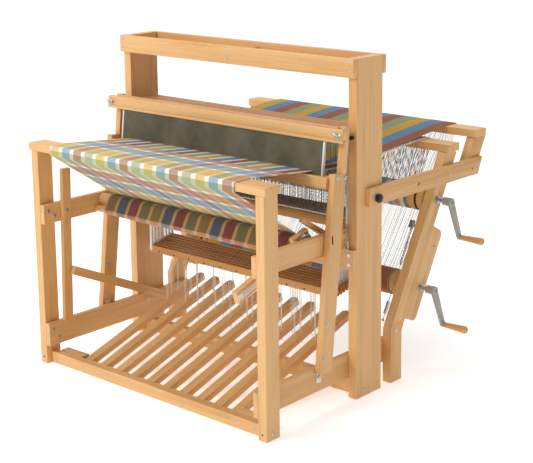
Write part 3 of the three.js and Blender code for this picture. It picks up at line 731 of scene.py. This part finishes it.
REAR_BEAM, FRONT_BEAM = (1103, 797), (935, 770)
for name, route, blend_to, material, pitch_mm, offset, radius, wander in (
        ("rear_warp_over", over_route(*REAR_BEAM), 1103, coloured_yarn, 4.1, -424, 1.5, 0.25),
        ("rear_warp_down", down_route(*REAR_BEAM, LOWER_BEAM), 742, pale_yarn, 5.9, -424, 0.95, 1.6),
        ("front_warp_over", over_route(*FRONT_BEAM), 935, pale_yarn, 5.4, -422, 1.35, 0.25),
        ("front_warp_down", down_route(*FRONT_BEAM, UPPER_BEAM), 742, pale_yarn, 4.7, -422, 1.0, 1.2)):
    sheet = thread_sheet(route, offset, int(848 / pitch_mm), pitch_mm, radius, wander)
    made = finish_piece(name + "_threads", sheet, material, None)
    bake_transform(made)
print("warp strung")

# %% [markdown]
# ## Cloth
# The woven cloth is a balanced plaid: the weft repeats the warp's colours, so each crossing mixes
# two of them and white squares mark the corners. It runs from the fell over the breast beam, back
# and down to the cloth beam, and winds once round the beam and the apron rod. It is one grid bent
# along that route, so its UV map is simply its flat place in metres, and the plaid follows it.

# %% The cloth's route
CLOTH_BEAM, APRON_ROD = (263, 552), (234, 523)
cloth_route = [(236 - 24 * k, 775.2 + 2.4 * k) for k in range(8)] + [(30, 792.3), (4, 792.3)]
cloth_route += arc((-1, 787), 5.2, 85, 180, 5) + [(-6.3, 776), (-6.6, 766)]
ON_BEAM, MEETS, LEAVES = 25.0, 56.8, -61.3    # the cloth's radius on the beam, and two angles
beam_y, beam_z = arc(CLOTH_BEAM, ON_BEAM, MEETS, MEETS, 1)[0]
cloth_route += [(-5.5 + (beam_y + 5.5) * k / 14, 761 + (beam_z - 761) * k / 14) for k in range(14)]
cloth_route += arc(CLOTH_BEAM, ON_BEAM, MEETS, LEAVES, 12)
APRON_TURN = len(cloth_route)
cloth_route += arc(APRON_ROD, 13.4, LEAVES, -208.7, 12)
cloth_route += [arc(CLOTH_BEAM, ON_BEAM - 2.2 * k / 8, 151.3 - 12 * k, 0, 1)[0] for k in range(9)]
run = [0.0]
for (y0, z0), (y1, z1) in zip(cloth_route, cloth_route[1:]):
    run.append(run[-1] + math.hypot(y1 - y0, z1 - z0) / 1000)
print("cloth length", round(run[-1], 3), "m")

# %% Plaid material
SHADE_BAND_FROM = run[APRON_TURN + 11]      # painted shade starts here, where the cloth lies under the descending sheet
# painted shade: the plaid's white, yellow, blue, rust and sage as they look in the shade under the
# descending sheet, with narrower white lines
SHADED_WHITE, SHADED_YELLOW = "#a27a4a", "#6b5522"
PAINTED_SHADE_STOPS = [(0.0, SHADED_WHITE), (0.025, SHADED_YELLOW), (0.215, SHADED_WHITE), (0.245, SHADED_YELLOW), (0.25, SHADED_WHITE),
                 (0.275, "#3a4048"), (0.465, SHADED_WHITE), (0.525, "#6a2a20"), (0.715, SHADED_WHITE),
                 (0.775, "#5c5226"), (0.965, SHADED_WHITE)]
WEFT_START, WEFT_REPEAT = -0.022, 0.368     # metres along the cloth
PICK_MM = 3.4                               # real picks are 1.2 mm apart; 3.4 mm is what shows


def plaid_material(name):
    """Warp and weft stripes mixed thread by thread, with painted shade in darker plaid colours on the
    cloth's last turn at the beam.
    """
    made, tree, shader = fresh_material(name, Roughness=0.92, Sheen_Weight=0.3, Sheen_Roughness=0.5)
    flat = node(tree, "ShaderNodeUVMap", uv_map="flat_place").outputs["UV"]
    split = node(tree, "ShaderNodeSeparateXYZ", None, {"Vector": flat})
    warp = stripes(tree, split.outputs["X"], 4 * STRIPE, 0, FOUR_WITH_WHITE)
    weft = stripes(tree, split.outputs["Y"], WEFT_REPEAT, WEFT_START, WEFT_STOPS)
    bumps = []
    for socket in ("X", "Y"):
        wave = node(tree, "ShaderNodeMath", {1: 1000 / PICK_MM * math.pi}, {0: split.outputs[socket]},
                    operation="MULTIPLY").outputs[0]
        bumps.append(node(tree, "ShaderNodeMath", None, {0: wave}, operation="SINE").outputs[0])
    over = node(tree, "ShaderNodeMath", None, {0: bumps[0], 1: bumps[1]}, operation="MULTIPLY")
    hair = node(tree, "ShaderNodeTexNoise", {"Scale": 260.0, "Detail": 2.0}, {"Vector": flat})
    over_hair = node(tree, "ShaderNodeMath", {2: 0.15}, {0: hair.outputs["Fac"], 1: over.outputs[0]},
                     operation="MULTIPLY_ADD").outputs[0]
    share = node(tree, "ShaderNodeMapRange", {"From Min": -0.6, "From Max": 0.9, "To Min": 0.28,
                 "To Max": 0.78}, {"Value": over_hair}).outputs["Result"]
    mixed = node(tree, "ShaderNodeMix", None, {0: share, 6: warp, 7: weft}, data_type="RGBA")
    # the yarns are packed close, so a dyed yarn beside a white one keeps most of its colour
    for yarn in (warp, weft):
        mixed = node(tree, "ShaderNodeMix", {0: 0.5}, {6: mixed.outputs[2], 7: yarn}, data_type="RGBA",
                     blend_type="DARKEN")
    # painted shade: past the start of the shaded band, the cloth takes the shaded plaid colours
    painted_shade_mask = node(tree, "ShaderNodeMath", {1: SHADE_BAND_FROM}, {0: split.outputs["Y"]},
                     operation="GREATER_THAN").outputs[0]
    painted_shade_stripes = stripes(tree, split.outputs["X"], 4 * STRIPE, 0, PAINTED_SHADE_STOPS)
    with_painted_shade = node(tree, "ShaderNodeMix", None, {0: painted_shade_mask, 6: mixed.outputs[2], 7: painted_shade_stripes},
                  data_type="RGBA")
    bump = node(tree, "ShaderNodeBump", {"Strength": 0.5, "Distance": 0.0006}, {"Height": over_hair})
    feed(shader, Base_Color=with_painted_shade.outputs[2], Normal=bump.outputs["Normal"])
    return made


plaid = plaid_material("plaid_cotton_weave")

# %% Cloth from the fell to the beam
cloth = bmesh.new()
COLUMNS = 60
bmesh.ops.create_grid(cloth, x_segments=COLUMNS, y_segments=len(cloth_route) - 1, size=1)
flat_place = cloth.loops.layers.uv.new("flat_place")
for vert in cloth.verts:
    column, row = (vert.co.x + 1) / 2, round((vert.co.y + 1) / 2 * (len(cloth_route) - 1))
    y, z = cloth_route[row]
    narrowing = 1 - 0.004 * math.sin(run[row] * 9)
    vert.co = at((column * 852 - 426) * narrowing, y, z + 0.25 * math.sin(column * 47 + row))
    vert.index = row
for face in cloth.faces:
    for loop in face.loops:
        loop[flat_place].uv = (loop.vert.co.x - WARP_LEFT, run[loop.vert.index])
woven = finish_piece("woven_plaid_cloth", cloth, plaid, "frame", ["woven_cloth"],
                     smooth=80)
thick = woven.modifiers.new("cloth_thickness", "SOLIDIFY")
thick.thickness, thick.offset = 0.0012, 0
print("cloth has", len(woven.data.polygons), "faces")

# %% [markdown]
# ## Cloth beam, apron rod and take-up
# The cloth beam is a maple roller with a toothed steel wheel at its right end. The apron rod that
# the cloth is tied to lies against it, under the last turn of cloth.

# %% Cloth beam and apron rod
def round_timber(name, centre, half, radius, body):
    """A maple roller along x with eased ends; half its length and its radius in mm."""
    shape = bmesh.new()
    turned(shape, at(0, *centre), ALONG_X, [(-half, 0), (-half, radius - 1.5), (1.5 - half, radius),
           (half - 1.5, radius), (half, radius - 1.5), (half, 0)], 40)
    lay_grain(shape, shape.verts, ALONG_X)
    return finish_piece(name, shape, maple, body)


roller = round_timber("cloth_roller", CLOTH_BEAM, 481.7, 21, "cloth_beam_body")
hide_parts("cloth_beam")
round_timber("apron_rod", APRON_ROD, 479, 11.5, "frame")
wheel = bmesh.new()
TEETH, ROOT, TIP, TOOTH_LEAN = 24, 30, 35, 0.05
rim_points = []
for k in range(2 * TEETH):
    radius, lean = (TIP, TOOTH_LEAN) if k % 2 else (ROOT, 0)
    rim_points += arc(CLOTH_BEAM, radius, math.degrees(math.pi * k / TEETH + lean), 0, 1)[:1]
extruded(wheel, rim_points, 464, 472, 0.0004)
finish_piece("ratchet_wheel", wheel, zinc_plate, "cloth_beam_body", smooth=25)
print("take-up made")

# %% [markdown]
# ## Warp beams and cranks
# A warp beam is a maple roller between two brake drums, wound with threads. Its axle passes through
# the right back post to a cast crank, whose turned maple grip spins on a screw.

# %% Warp beams
CRANK_SWING = math.radians(22)
for name, body, roller_at, wound_yarn in (("upper", "upper_warp_beam_body", UPPER_BEAM, pale_yarn),
                                          ("lower", "lower_warp_beam_body", LOWER_BEAM, coloured_yarn)):
    centre = at(0, *roller_at)
    timber = bmesh.new()
    turned(timber, centre, ALONG_X, [(-446, 0), (-446, 40), (446, 40), (446, 0)], 36)
    for flip in (1, -1):
        turned(timber, centre, (flip, 0, 0), [(447, 0), (447, 45), (449, 47), (467, 47), (468, 44.5),
               (478, 44.5), (479, 47), (497, 47), (499, 45), (499, 0)], 36)
    lay_grain(timber, timber.verts, ALONG_X)
    made = finish_piece(name + "_roller", timber, maple, body)
    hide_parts(name + "_warp_beam")
    band = bmesh.new()
    for flip in (1, -1):
        for groove in (470.5, 473, 475.5):
            turned(band, centre, (flip, 0, 0), [(groove - 1.2, 44), (groove - 1.0, 46), (groove, 46.6),
                   (groove + 1.0, 46), (groove + 1.2, 44)], 32)
    finish_piece(name + "_brake_band", band, leather_and_slot_shade, body)
    wound = bmesh.new()
    ribs = []
    for k in range(108):
        ribs += [(-429 + 8 * k, 44.3), (-427.5 + 8 * k, 45.8 + draw.uniform(-0.3, 0.3)),
                 (-424.5 + 8 * k, 45.8 + draw.uniform(-0.3, 0.3))]
    turned(wound, centre, ALONG_X, [(-430, 40.2)] + [p for p in ribs if p[0] < 429] + [(430, 40.2)], 36)
    finish_piece(name + "_wound_warp", wound, wound_yarn, body, smooth=60)
    axle = bmesh.new()
    turned(axle, centre, ALONG_X, [(499, 6), (562, 6)], 16)
    turned(axle, centre, (-1, 0, 0), [(499, 6), (541, 6), (542, 5), (542, 0)], 16)
    turned(axle, centre, ALONG_X, [(536.2, 6), (536.2, 13), (538, 13), (538.4, 12), (538.4, 6)], 24)
    turned(axle, centre, ALONG_X, [(538.4, 6), (538.4, 10.5), (545, 10.5), (546, 9.5), (546, 6)], 6)
    finish_piece(name + "_axle", axle, zinc_plate, body)
    crank = bmesh.new()
    turned(crank, centre, ALONG_X, [(560, 0), (560, 12), (561.5, 13.5), (585, 15), (596, 15), (598, 13.5),
           (598, 8), (595, 7.4), (595, 0)], 28)
    down = (math.sin(CRANK_SWING), -math.cos(CRANK_SWING))
    beside = (math.cos(CRANK_SWING), math.sin(CRANK_SWING))

    def on_arm(run_out, sideways):
        return (roller_at[0] + down[0] * run_out + beside[0] * sideways,
                roller_at[1] + down[1] * run_out + beside[1] * sideways)

    extruded(crank, [on_arm(4, -14), on_arm(144, -9.5), on_arm(144, 9.5), on_arm(4, 14)],
             586, 597, 0.0022)
    extruded(crank, [on_arm(24, -7), on_arm(126, -5), on_arm(126, 5), on_arm(24, 7)],
             596.5, 598.2, 0.0006)
    grip_centre = at(0, *on_arm(145, 0))
    turned(crank, grip_centre, ALONG_X,
           [(587, 0), (587, 8.2), (588, 9), (599, 9), (600, 8), (600, 0)], 24)
    finish_piece(name + "_crank", crank, cast_zinc, body)
    handle = bmesh.new()
    turned(handle, grip_centre, ALONG_X, [(600.4, 4), (600.6, 8.6), (602, 9.5), (618, 9.7), (650, 11.4),
           (676, 13), (684, 12.8), (687.4, 11.2), (688, 9), (688, 5.4), (684.5, 5.2), (684.5, 0)], 28)
    lay_grain(handle, handle.verts, ALONG_X)
    finish_piece(name + "_grip", handle, maple, body, smooth=50)
    pin = bmesh.new()
    turned(pin, grip_centre, ALONG_X, [(684.6, 4.4), (686.4, 4.2), (687.2, 2.4), (687.4, 0)], 16)
    finish_piece(name + "_grip_screw", pin, zinc_plate, body)
print("warp beams made")

# %% [markdown]
# ## Hardware
# The frame is held by zinc-plated connector bolts with a sunk socket, countersunk screws and a few
# open peg holes. Each one is a small turned profile on the face it is driven into. Each kind is
# gathered into one piece for each body that it rides on.

# %% Bolts, screws and holes
FACING = {"+x": (1, 0, 0), "-x": (-1, 0, 0), "-y": (0, -1, 0), "+y": (0, 1, 0)}
BOLT = [(-0.4, 0), (-0.4, 7), (0.9, 7), (1.7, 6.2), (1.8, 3.4), (0.4, 3.1), (0.4, 0)]
SCREW = [(-0.3, 0), (-0.3, 4.2), (0.5, 4.1), (0.9, 3.2), (0.9, 1.5), (0.2, 1.2), (0.2, 0)]
HOLE = [(-0.3, 0), (-0.3, 3.3), (0.12, 3.3), (0.12, 0)]


def fasteners(name, body, profile, material, places, steps=16):
    """Turned fasteners of one kind, each at (x, y, z) with the way that it faces."""
    shape = bmesh.new()
    for x, y, z, facing in places:
        turned(shape, at(x, y, z), FACING[facing], profile, steps)
    return finish_piece(name, shape, material, body)


POST_AXIS, OUTSIDE, INSIDE = 519, 536, 482     # mm from the middle to a post's axis and faces
BRACE_FACE, TRAY_FRONT, TRAY_REAR = 551.3, 418.2, 585.8
BOTH = (-1, 1)                                 # the left side, then the right
outward = {-1: "-x", 1: "+x"}


def on_sides(x, spots, sides=BOTH, turn=1):
    """Places at x on either side of the loom, facing out, or in where turn is -1."""
    return [(s * x, y, z, outward[s * turn]) for s in sides for y, z in spots]


frame_bolts = [(s * POST_AXIS, 418.0, z, "-y") for s in BOTH for z in (490, 458)]
for s in BOTH:
    frame_bolts += on_sides(OUTSIDE, ((479, 22), (30, 22), (653, 180)), [s])
    frame_bolts += on_sides(INSIDE, ((20, 553), (46, 531), (20, 125), (46, 92), (470, 122), (535, 96),
                                     (640, 110)), [s], -1)
fasteners("frame_bolts", "frame", BOLT, zinc_plate, frame_bolts)
frame_screws = [(s * POST_AXIS, TRAY_FRONT, z, "-y") for s in BOTH for z in (1107, 1077)]
frame_screws += [(0, y, z, way) for y, way in ((TRAY_FRONT, "-y"), (TRAY_REAR, "+y"))
                 for z in (1106, 1079)]
frame_screws += [(s * POST_AXIS, TRAY_REAR, z, "+y") for s in BOTH for z in (1107, 1077)]
frame_screws += [(x, 20, 22, "-y") for x in (-470, -330, -90, 160, 400, 470)]
fasteners("frame_screws", "frame", SCREW, zinc_plate, frame_screws)
fasteners("frame_peg_holes", "frame", HOLE, bore_shadow,
          [(s * POST_AXIS, 0, 22, "-y") for s in BOTH] + on_sides(502, [(345, 545)], (1, -1)))
fasteners("arm_bolts", "beater", BOLT, zinc_plate,
          on_sides(528.3, ((298, 293), (282, 183), (351, 755), (389, 750)))
          + on_sides(504.3, ((300, 295), (287, 186)), turn=-1))
fasteners("back_bolts", "back_frame", BOLT, zinc_plate,
          on_sides(OUTSIDE, [(811, 459)]) + on_sides(BRACE_FACE, ((934, 665), (1110, 672))))
fasteners("back_peg_holes", "back_frame", HOLE, bore_shadow,
          on_sides(OUTSIDE, [(867, 426)]) + on_sides(BRACE_FACE, ((749, 667), (1075, 664))))
for k in range(1, 9):
    y, z = SHAFT_Y[k - 1], 331 + 3 * (k - 1)
    fasteners(f"lamm_{k}_holes", f"lamm_{k}_body", HOLE, bore_shadow,
              [(TREADLE_PITCH * n, y - 4.5, z, "-y") for n in range(-5, 6)], 10)
fasteners("lever_bolt", "side_lever_body", BOLT, zinc_plate, [(-466.2, 88, 545, "+x")])
print("bolts and screws driven")

# %% [markdown]
# The special fittings follow: black hand knobs that hook the braces, wing nuts that clamp the hand
# bar, steel hangers that the beater hangs on, the advance handle's strap and the take-up's pawl.

# %% Knobs, wing nuts, hangers and pawl
knobs = bmesh.new()
KNOB_Y, KNOB_Z = 523, 664
lobes = []
for n in range(56):
    angle = 2 * math.pi * n / 56
    radius = 13.5 + 1.1 * math.cos(7 * angle)    # seven finger lobes
    lobes.append((KNOB_Y + radius * math.cos(angle), KNOB_Z + radius * math.sin(angle)))
for s in BOTH:
    extruded(knobs, lobes, *sorted((s * 553.5, s * 566)), 0.0022)
    turned(knobs, at(s * 551.6, KNOB_Y, KNOB_Z), (s, 0, 0), [(0, 0), (0, 8.5), (2.2, 8.5), (2.2, 0)], 24)
    turned(knobs, at(s * 566, KNOB_Y, KNOB_Z), (s, 0, 0),
           [(-1, 0), (-0.5, 5.5), (0.9, 5.0), (1.3, 3.5), (1.4, 0)], 24)
finish_piece("brace_knobs", knobs, black_plastic, "frame", smooth=40)
rests = bmesh.new()
for s in BOTH:
    turned(rests, at(s * POST_AXIS, 436, 870), (0, -1, 0),
           [(-0.5, 0), (-0.5, 6), (3, 7), (9, 7), (11, 5.5), (11.6, 0)], 20)
finish_piece("beater_rests", rests, black_plastic, "frame")
wings = bmesh.new()
for s in BOTH:
    hub = at(s * 524, PIVOT_Y - 17, PIVOT_Z + 771)
    turned(wings, hub, (0, -1, 0), [(-0.5, 0), (-0.5, 8), (1.2, 8), (1.4, 5.4), (7, 4.4), (10.5, 3.9),
           (11, 2.5), (9, 2.4), (9, 0)], 16)
    for lift in BOTH:
        flap = bmesh.new()
        bmesh.ops.create_uvsphere(flap, u_segments=14, v_segments=8, radius=1)
        bmesh.ops.scale(flap, vec=(0.0072, 0.0012, 0.0048), verts=flap.verts)
        bmesh.ops.rotate(flap, cent=(0, 0, 0), matrix=Matrix.Rotation(lift * -0.6, 3, "Y"),
                         verts=flap.verts)
        bmesh.ops.translate(flap, vec=hub + Vector((lift * 0.0085, -0.0085, 0.003)), verts=flap.verts)
        add_to(wings, flap)
bmesh.ops.rotate(wings, cent=PIVOT, matrix=BACKWARD, verts=wings.verts)
finish_piece("wing_nuts", wings, zinc_plate, "beater", smooth=40)
hangers = bmesh.new()
for s in BOTH:
    near, far = sorted((s * 502.6, s * 504.2))
    plank(hangers, (near, 273, 98), (far, 297, 158), ALONG_Z, TURN, 0.0004)
finish_piece("beater_hangers", hangers, strap_metal, "beater")
STUD = [(0, 4.5), (3.4, 4.5), (3.6, 7), (6.5, 7), (7, 6), (7, 3), (5.6, 2.8), (5.6, 0)]
fasteners("hanger_studs", "frame", STUD, zinc_plate,
          on_sides(502, [(PIVOT_Y, PIVOT_Z)], (1, -1)), 6)
# painted shade: a thin dark patch on each arm's outer face stands for the shaded inside of its slot
slot_shade_patches = bmesh.new()
for s in BOTH:
    near, far = sorted((s * 527.5, s * 528.5))
    plank(slot_shade_patches, (near, 321, 548), (far, 328, 576), ALONG_Z, None, 0.0002)
finish_piece("arm_slot_shade", slot_shade_patches, leather_and_slot_shade, "beater")
strap = bmesh.new()
DROOP, REACH = math.radians(19), 292      # the handle hangs by an angle; its bolt is REACH mm out
plank(strap, (461.1, -52, 542), (462.4, 252, 562), ALONG_Y, (at(0, *CLOTH_BEAM), DROOP), 0.0004)
turned(strap, at(462.2, CLOTH_BEAM[0] - REACH * math.cos(DROOP), CLOTH_BEAM[1] - REACH * math.sin(DROOP)),
       ALONG_X, BOLT, 16)
finish_piece("handle_strap", strap, strap_metal, "advance_handle_body")
pawl = bmesh.new()
extruded(pawl, [(262, 622), (270, 633), (398, 557), (392, 544), (381, 545)], 441, 459, 0.0015)
lay_grain(pawl, pawl.verts, (0, 0.86, -0.5))
finish_piece("holding_pawl", pawl, maple, "frame")
pin = bmesh.new()
turned(pin, at(459, 386, 553), ALONG_X, [(0, 4), (22.8, 4)], 14)
turned(pin, at(441, 386, 553), (-1, 0, 0), BOLT, 16)
finish_piece("pawl_pin", pin, zinc_plate, "frame")
print("fittings made")

# %% [markdown]
# ## Treadle rod, spacers and tie-ups
# The treadles hang on a steel rod with a wooden spacer between each pair. Above them, white cotton
# ties come down from the holes of the lamms, pass through the treadles and end in a knot below.
# They hang from the lamms, so they ride with them. Each tie is a loop of two strands.

# %% Treadle rod and spacers
TREADLE_X = [TREADLE_PITCH * (k - 5.5) for k in range(1, 11)]
ROD_Y, ROD_Z = 62, 24
rod = bmesh.new()
turned(rod, at(-481, ROD_Y, ROD_Z), ALONG_X, [(0, 0), (0, 4), (962, 4), (962, 0)], 16)
finish_piece("treadle_rod", rod, zinc_plate, "frame")
spacers = bmesh.new()
for x in TREADLE_X[:-1]:
    turned(spacers, at(x + 18.5, ROD_Y, ROD_Z), ALONG_X,
           [(0, 4.2), (0, 9), (0.8, 9.8), (39.9, 9.8), (40.7, 9), (40.7, 4.2)], 20)
lay_grain(spacers, spacers.verts, ALONG_X)
finish_piece("treadle_spacers", spacers, maple, "frame")
blocks = bmesh.new()
plank(blocks, (-481, 47, 8), (-369, 80, 44), ALONG_X)
plank(blocks, (369, 47, 8), (481, 80, 44), ALONG_X)
finish_piece("rod_end_blocks", blocks, maple, "frame")

# %% Tie-ups
TIED_TO = {1: (1, 3, 5, 8), 2: (2, 4, 6), 3: (1, 3, 6, 7), 4: (2, 4, 5, 8), 5: (1, 5, 7), 6: (2, 3, 6, 8),
           7: (1, 4, 7), 8: (2, 5, 8), 9: (1, 3, 6, 8), 10: (2, 4, 7)}


def treadle_height(y, above):
    """Height of a treadle's mid plane at y, plus a distance square to it."""
    return ROD_Z + (y - ROD_Y) * math.tan(TREADLE_TILT) + above / math.cos(TREADLE_TILT)


TIE_RADIUS = 0.95
KNOT = [(-3, 0), (-2, 2.6), (0.5, 3.9), (3.5, 3.6), (6, 2), (6.6, 0)]
for k in range(1, 9):
    ties = bmesh.new()
    y, top = SHAFT_Y[k - 1], 324 + 3 * (k - 1) + 7
    for j, lamms in TIED_TO.items():
        if k not in lamms:
            continue
        x = TREADLE_X[j - 1] + draw.uniform(-9, 9)
        foot = treadle_height(y, -11)
        for strand in (-1, 1):
            sway = draw.uniform(-3, 3)
            wire(ties, [at(x + strand * 2.5, y - 5.6, top), at(x + strand * 3.4, y - 6.4, top - 14),
                        at(x + strand * 3 + sway, y - 5, (top + foot) / 2),
                        at(x + strand * 1.5, y - 5, foot + 20),
                        at(x + strand * 1.2, y - 5, foot - 6)], TIE_RADIUS)
        wire(ties, [at(x + aside, y - 5.6 - 0.8 * (up > 0), top + up)
                    for aside, up in ((-2.6, 0), (-1.2, 2.6), (1.2, 2.6), (2.6, 0))], TIE_RADIUS)
        turned(ties, at(x, y - 5, foot - 6), (0, 0, -1), KNOT, 10)
        wire(ties, [at(x, y - 5, foot - 11), at(x + draw.uniform(-3, 3), y - 3, foot - 18),
                    at(x + draw.uniform(-7, 7), y + 1, foot - 24)], 1.2)
    finish_piece(f"lamm_{k}_ties", ties, cotton_cord, f"lamm_{k}_body", smooth=50)
    hangings = bmesh.new()
    for low, high in ((-433, -421), (421, 433)):
        plank(hangings, (low, y - 6.2, 330 + 3 * (k - 1)), (high, y - 4.8, 545), ALONG_Z, width=0.0003)
    finish_piece(f"lamm_{k}_straps", hangings, strap_metal, f"lamm_{k}_body")
print("ties hung from 8 lamms")

# %% [markdown]
# ## Hooks, springs and the brake
# Spring-steel hooks link the shafts' side straps at the right of the castle. On the right back post
# a chain, a cable and a spring pull the brake band of the lower warp beam.

# %% Wire fittings
hooks = bmesh.new()
wire(hooks, [at(519, 414, 512), at(520, 411, 530), at(517, 413, 552), at(512, 418, 575),
             at(506, 424, 590)], 1.6)
for y, z in ((414, 518), (417, 560)):
    wire(hooks, [at(514 + 6 * math.cos(t), y - 4 - 2 * math.sin(t), z + 8 * math.sin(t))
                 for t in (math.pi * n / 6 for n in range(12))], 1.4)
finish_piece("castle_hooks", hooks, zinc_plate, "frame", smooth=60)
brake = bmesh.new()


def brake_at(behind, up):
    """A point of the brake gear, which hangs in one plane beside the right back post."""
    return at(495, *along_post(behind, up))


spring_low, spring_high = brake_at(-34, 40), brake_at(-34, 84)
lift = spring_high - spring_low
across_spring = Vector((1, 0, 0))
beside_spring = lift.normalized().cross(across_spring)
COILS, PER_COIL = 14, 12
wire(brake, [spring_low + lift * (n / (COILS * PER_COIL))
             + 0.0058 * (across_spring * math.cos(2 * math.pi * n / PER_COIL)
                         + beside_spring * math.sin(2 * math.pi * n / PER_COIL))
             for n in range(COILS * PER_COIL + 1)], 1.0, 5)
wire(brake, [spring_high, brake_at(-34, 100), brake_at(-33.5, 215)], 1.1)
for n in range(17):
    link = brake_at(-33, 218 + 8.2 * n)
    flat = (across_spring if n % 2 else beside_spring) * 0.0036
    up = lift.normalized() * 0.0056
    wire(brake, [link + flat * math.cos(t) + up * math.sin(t)
                 for t in (2 * math.pi * m / 10 for m in range(11))], 1.25, 5)
wire(brake, [spring_low, brake_at(-34, 24), brake_at(-30.2, 18)], 1.1)
finish_piece("brake_chain", brake, heddle_wire, "back_frame", smooth=60)
anchor = bmesh.new()
turned(anchor, brake_at(-30, 358), -ACROSS_POST,
       [(0, 0), (0, 9), (3, 9), (4, 7), (12, 6), (13, 4), (13, 0)], 16)
corners = [along_post(-42, 346), along_post(-31, 346), along_post(-31, 372), along_post(-42, 372)]
extruded(anchor, corners, 484, 501, 0.001)
turned(anchor, brake_at(-30, 18), -ACROSS_POST, [(0, 0), (0, 4), (6, 4), (6.5, 3), (6.5, 0)], 12)
finish_piece("brake_anchor", anchor, zinc_plate, "back_frame")
print("brake gear made")
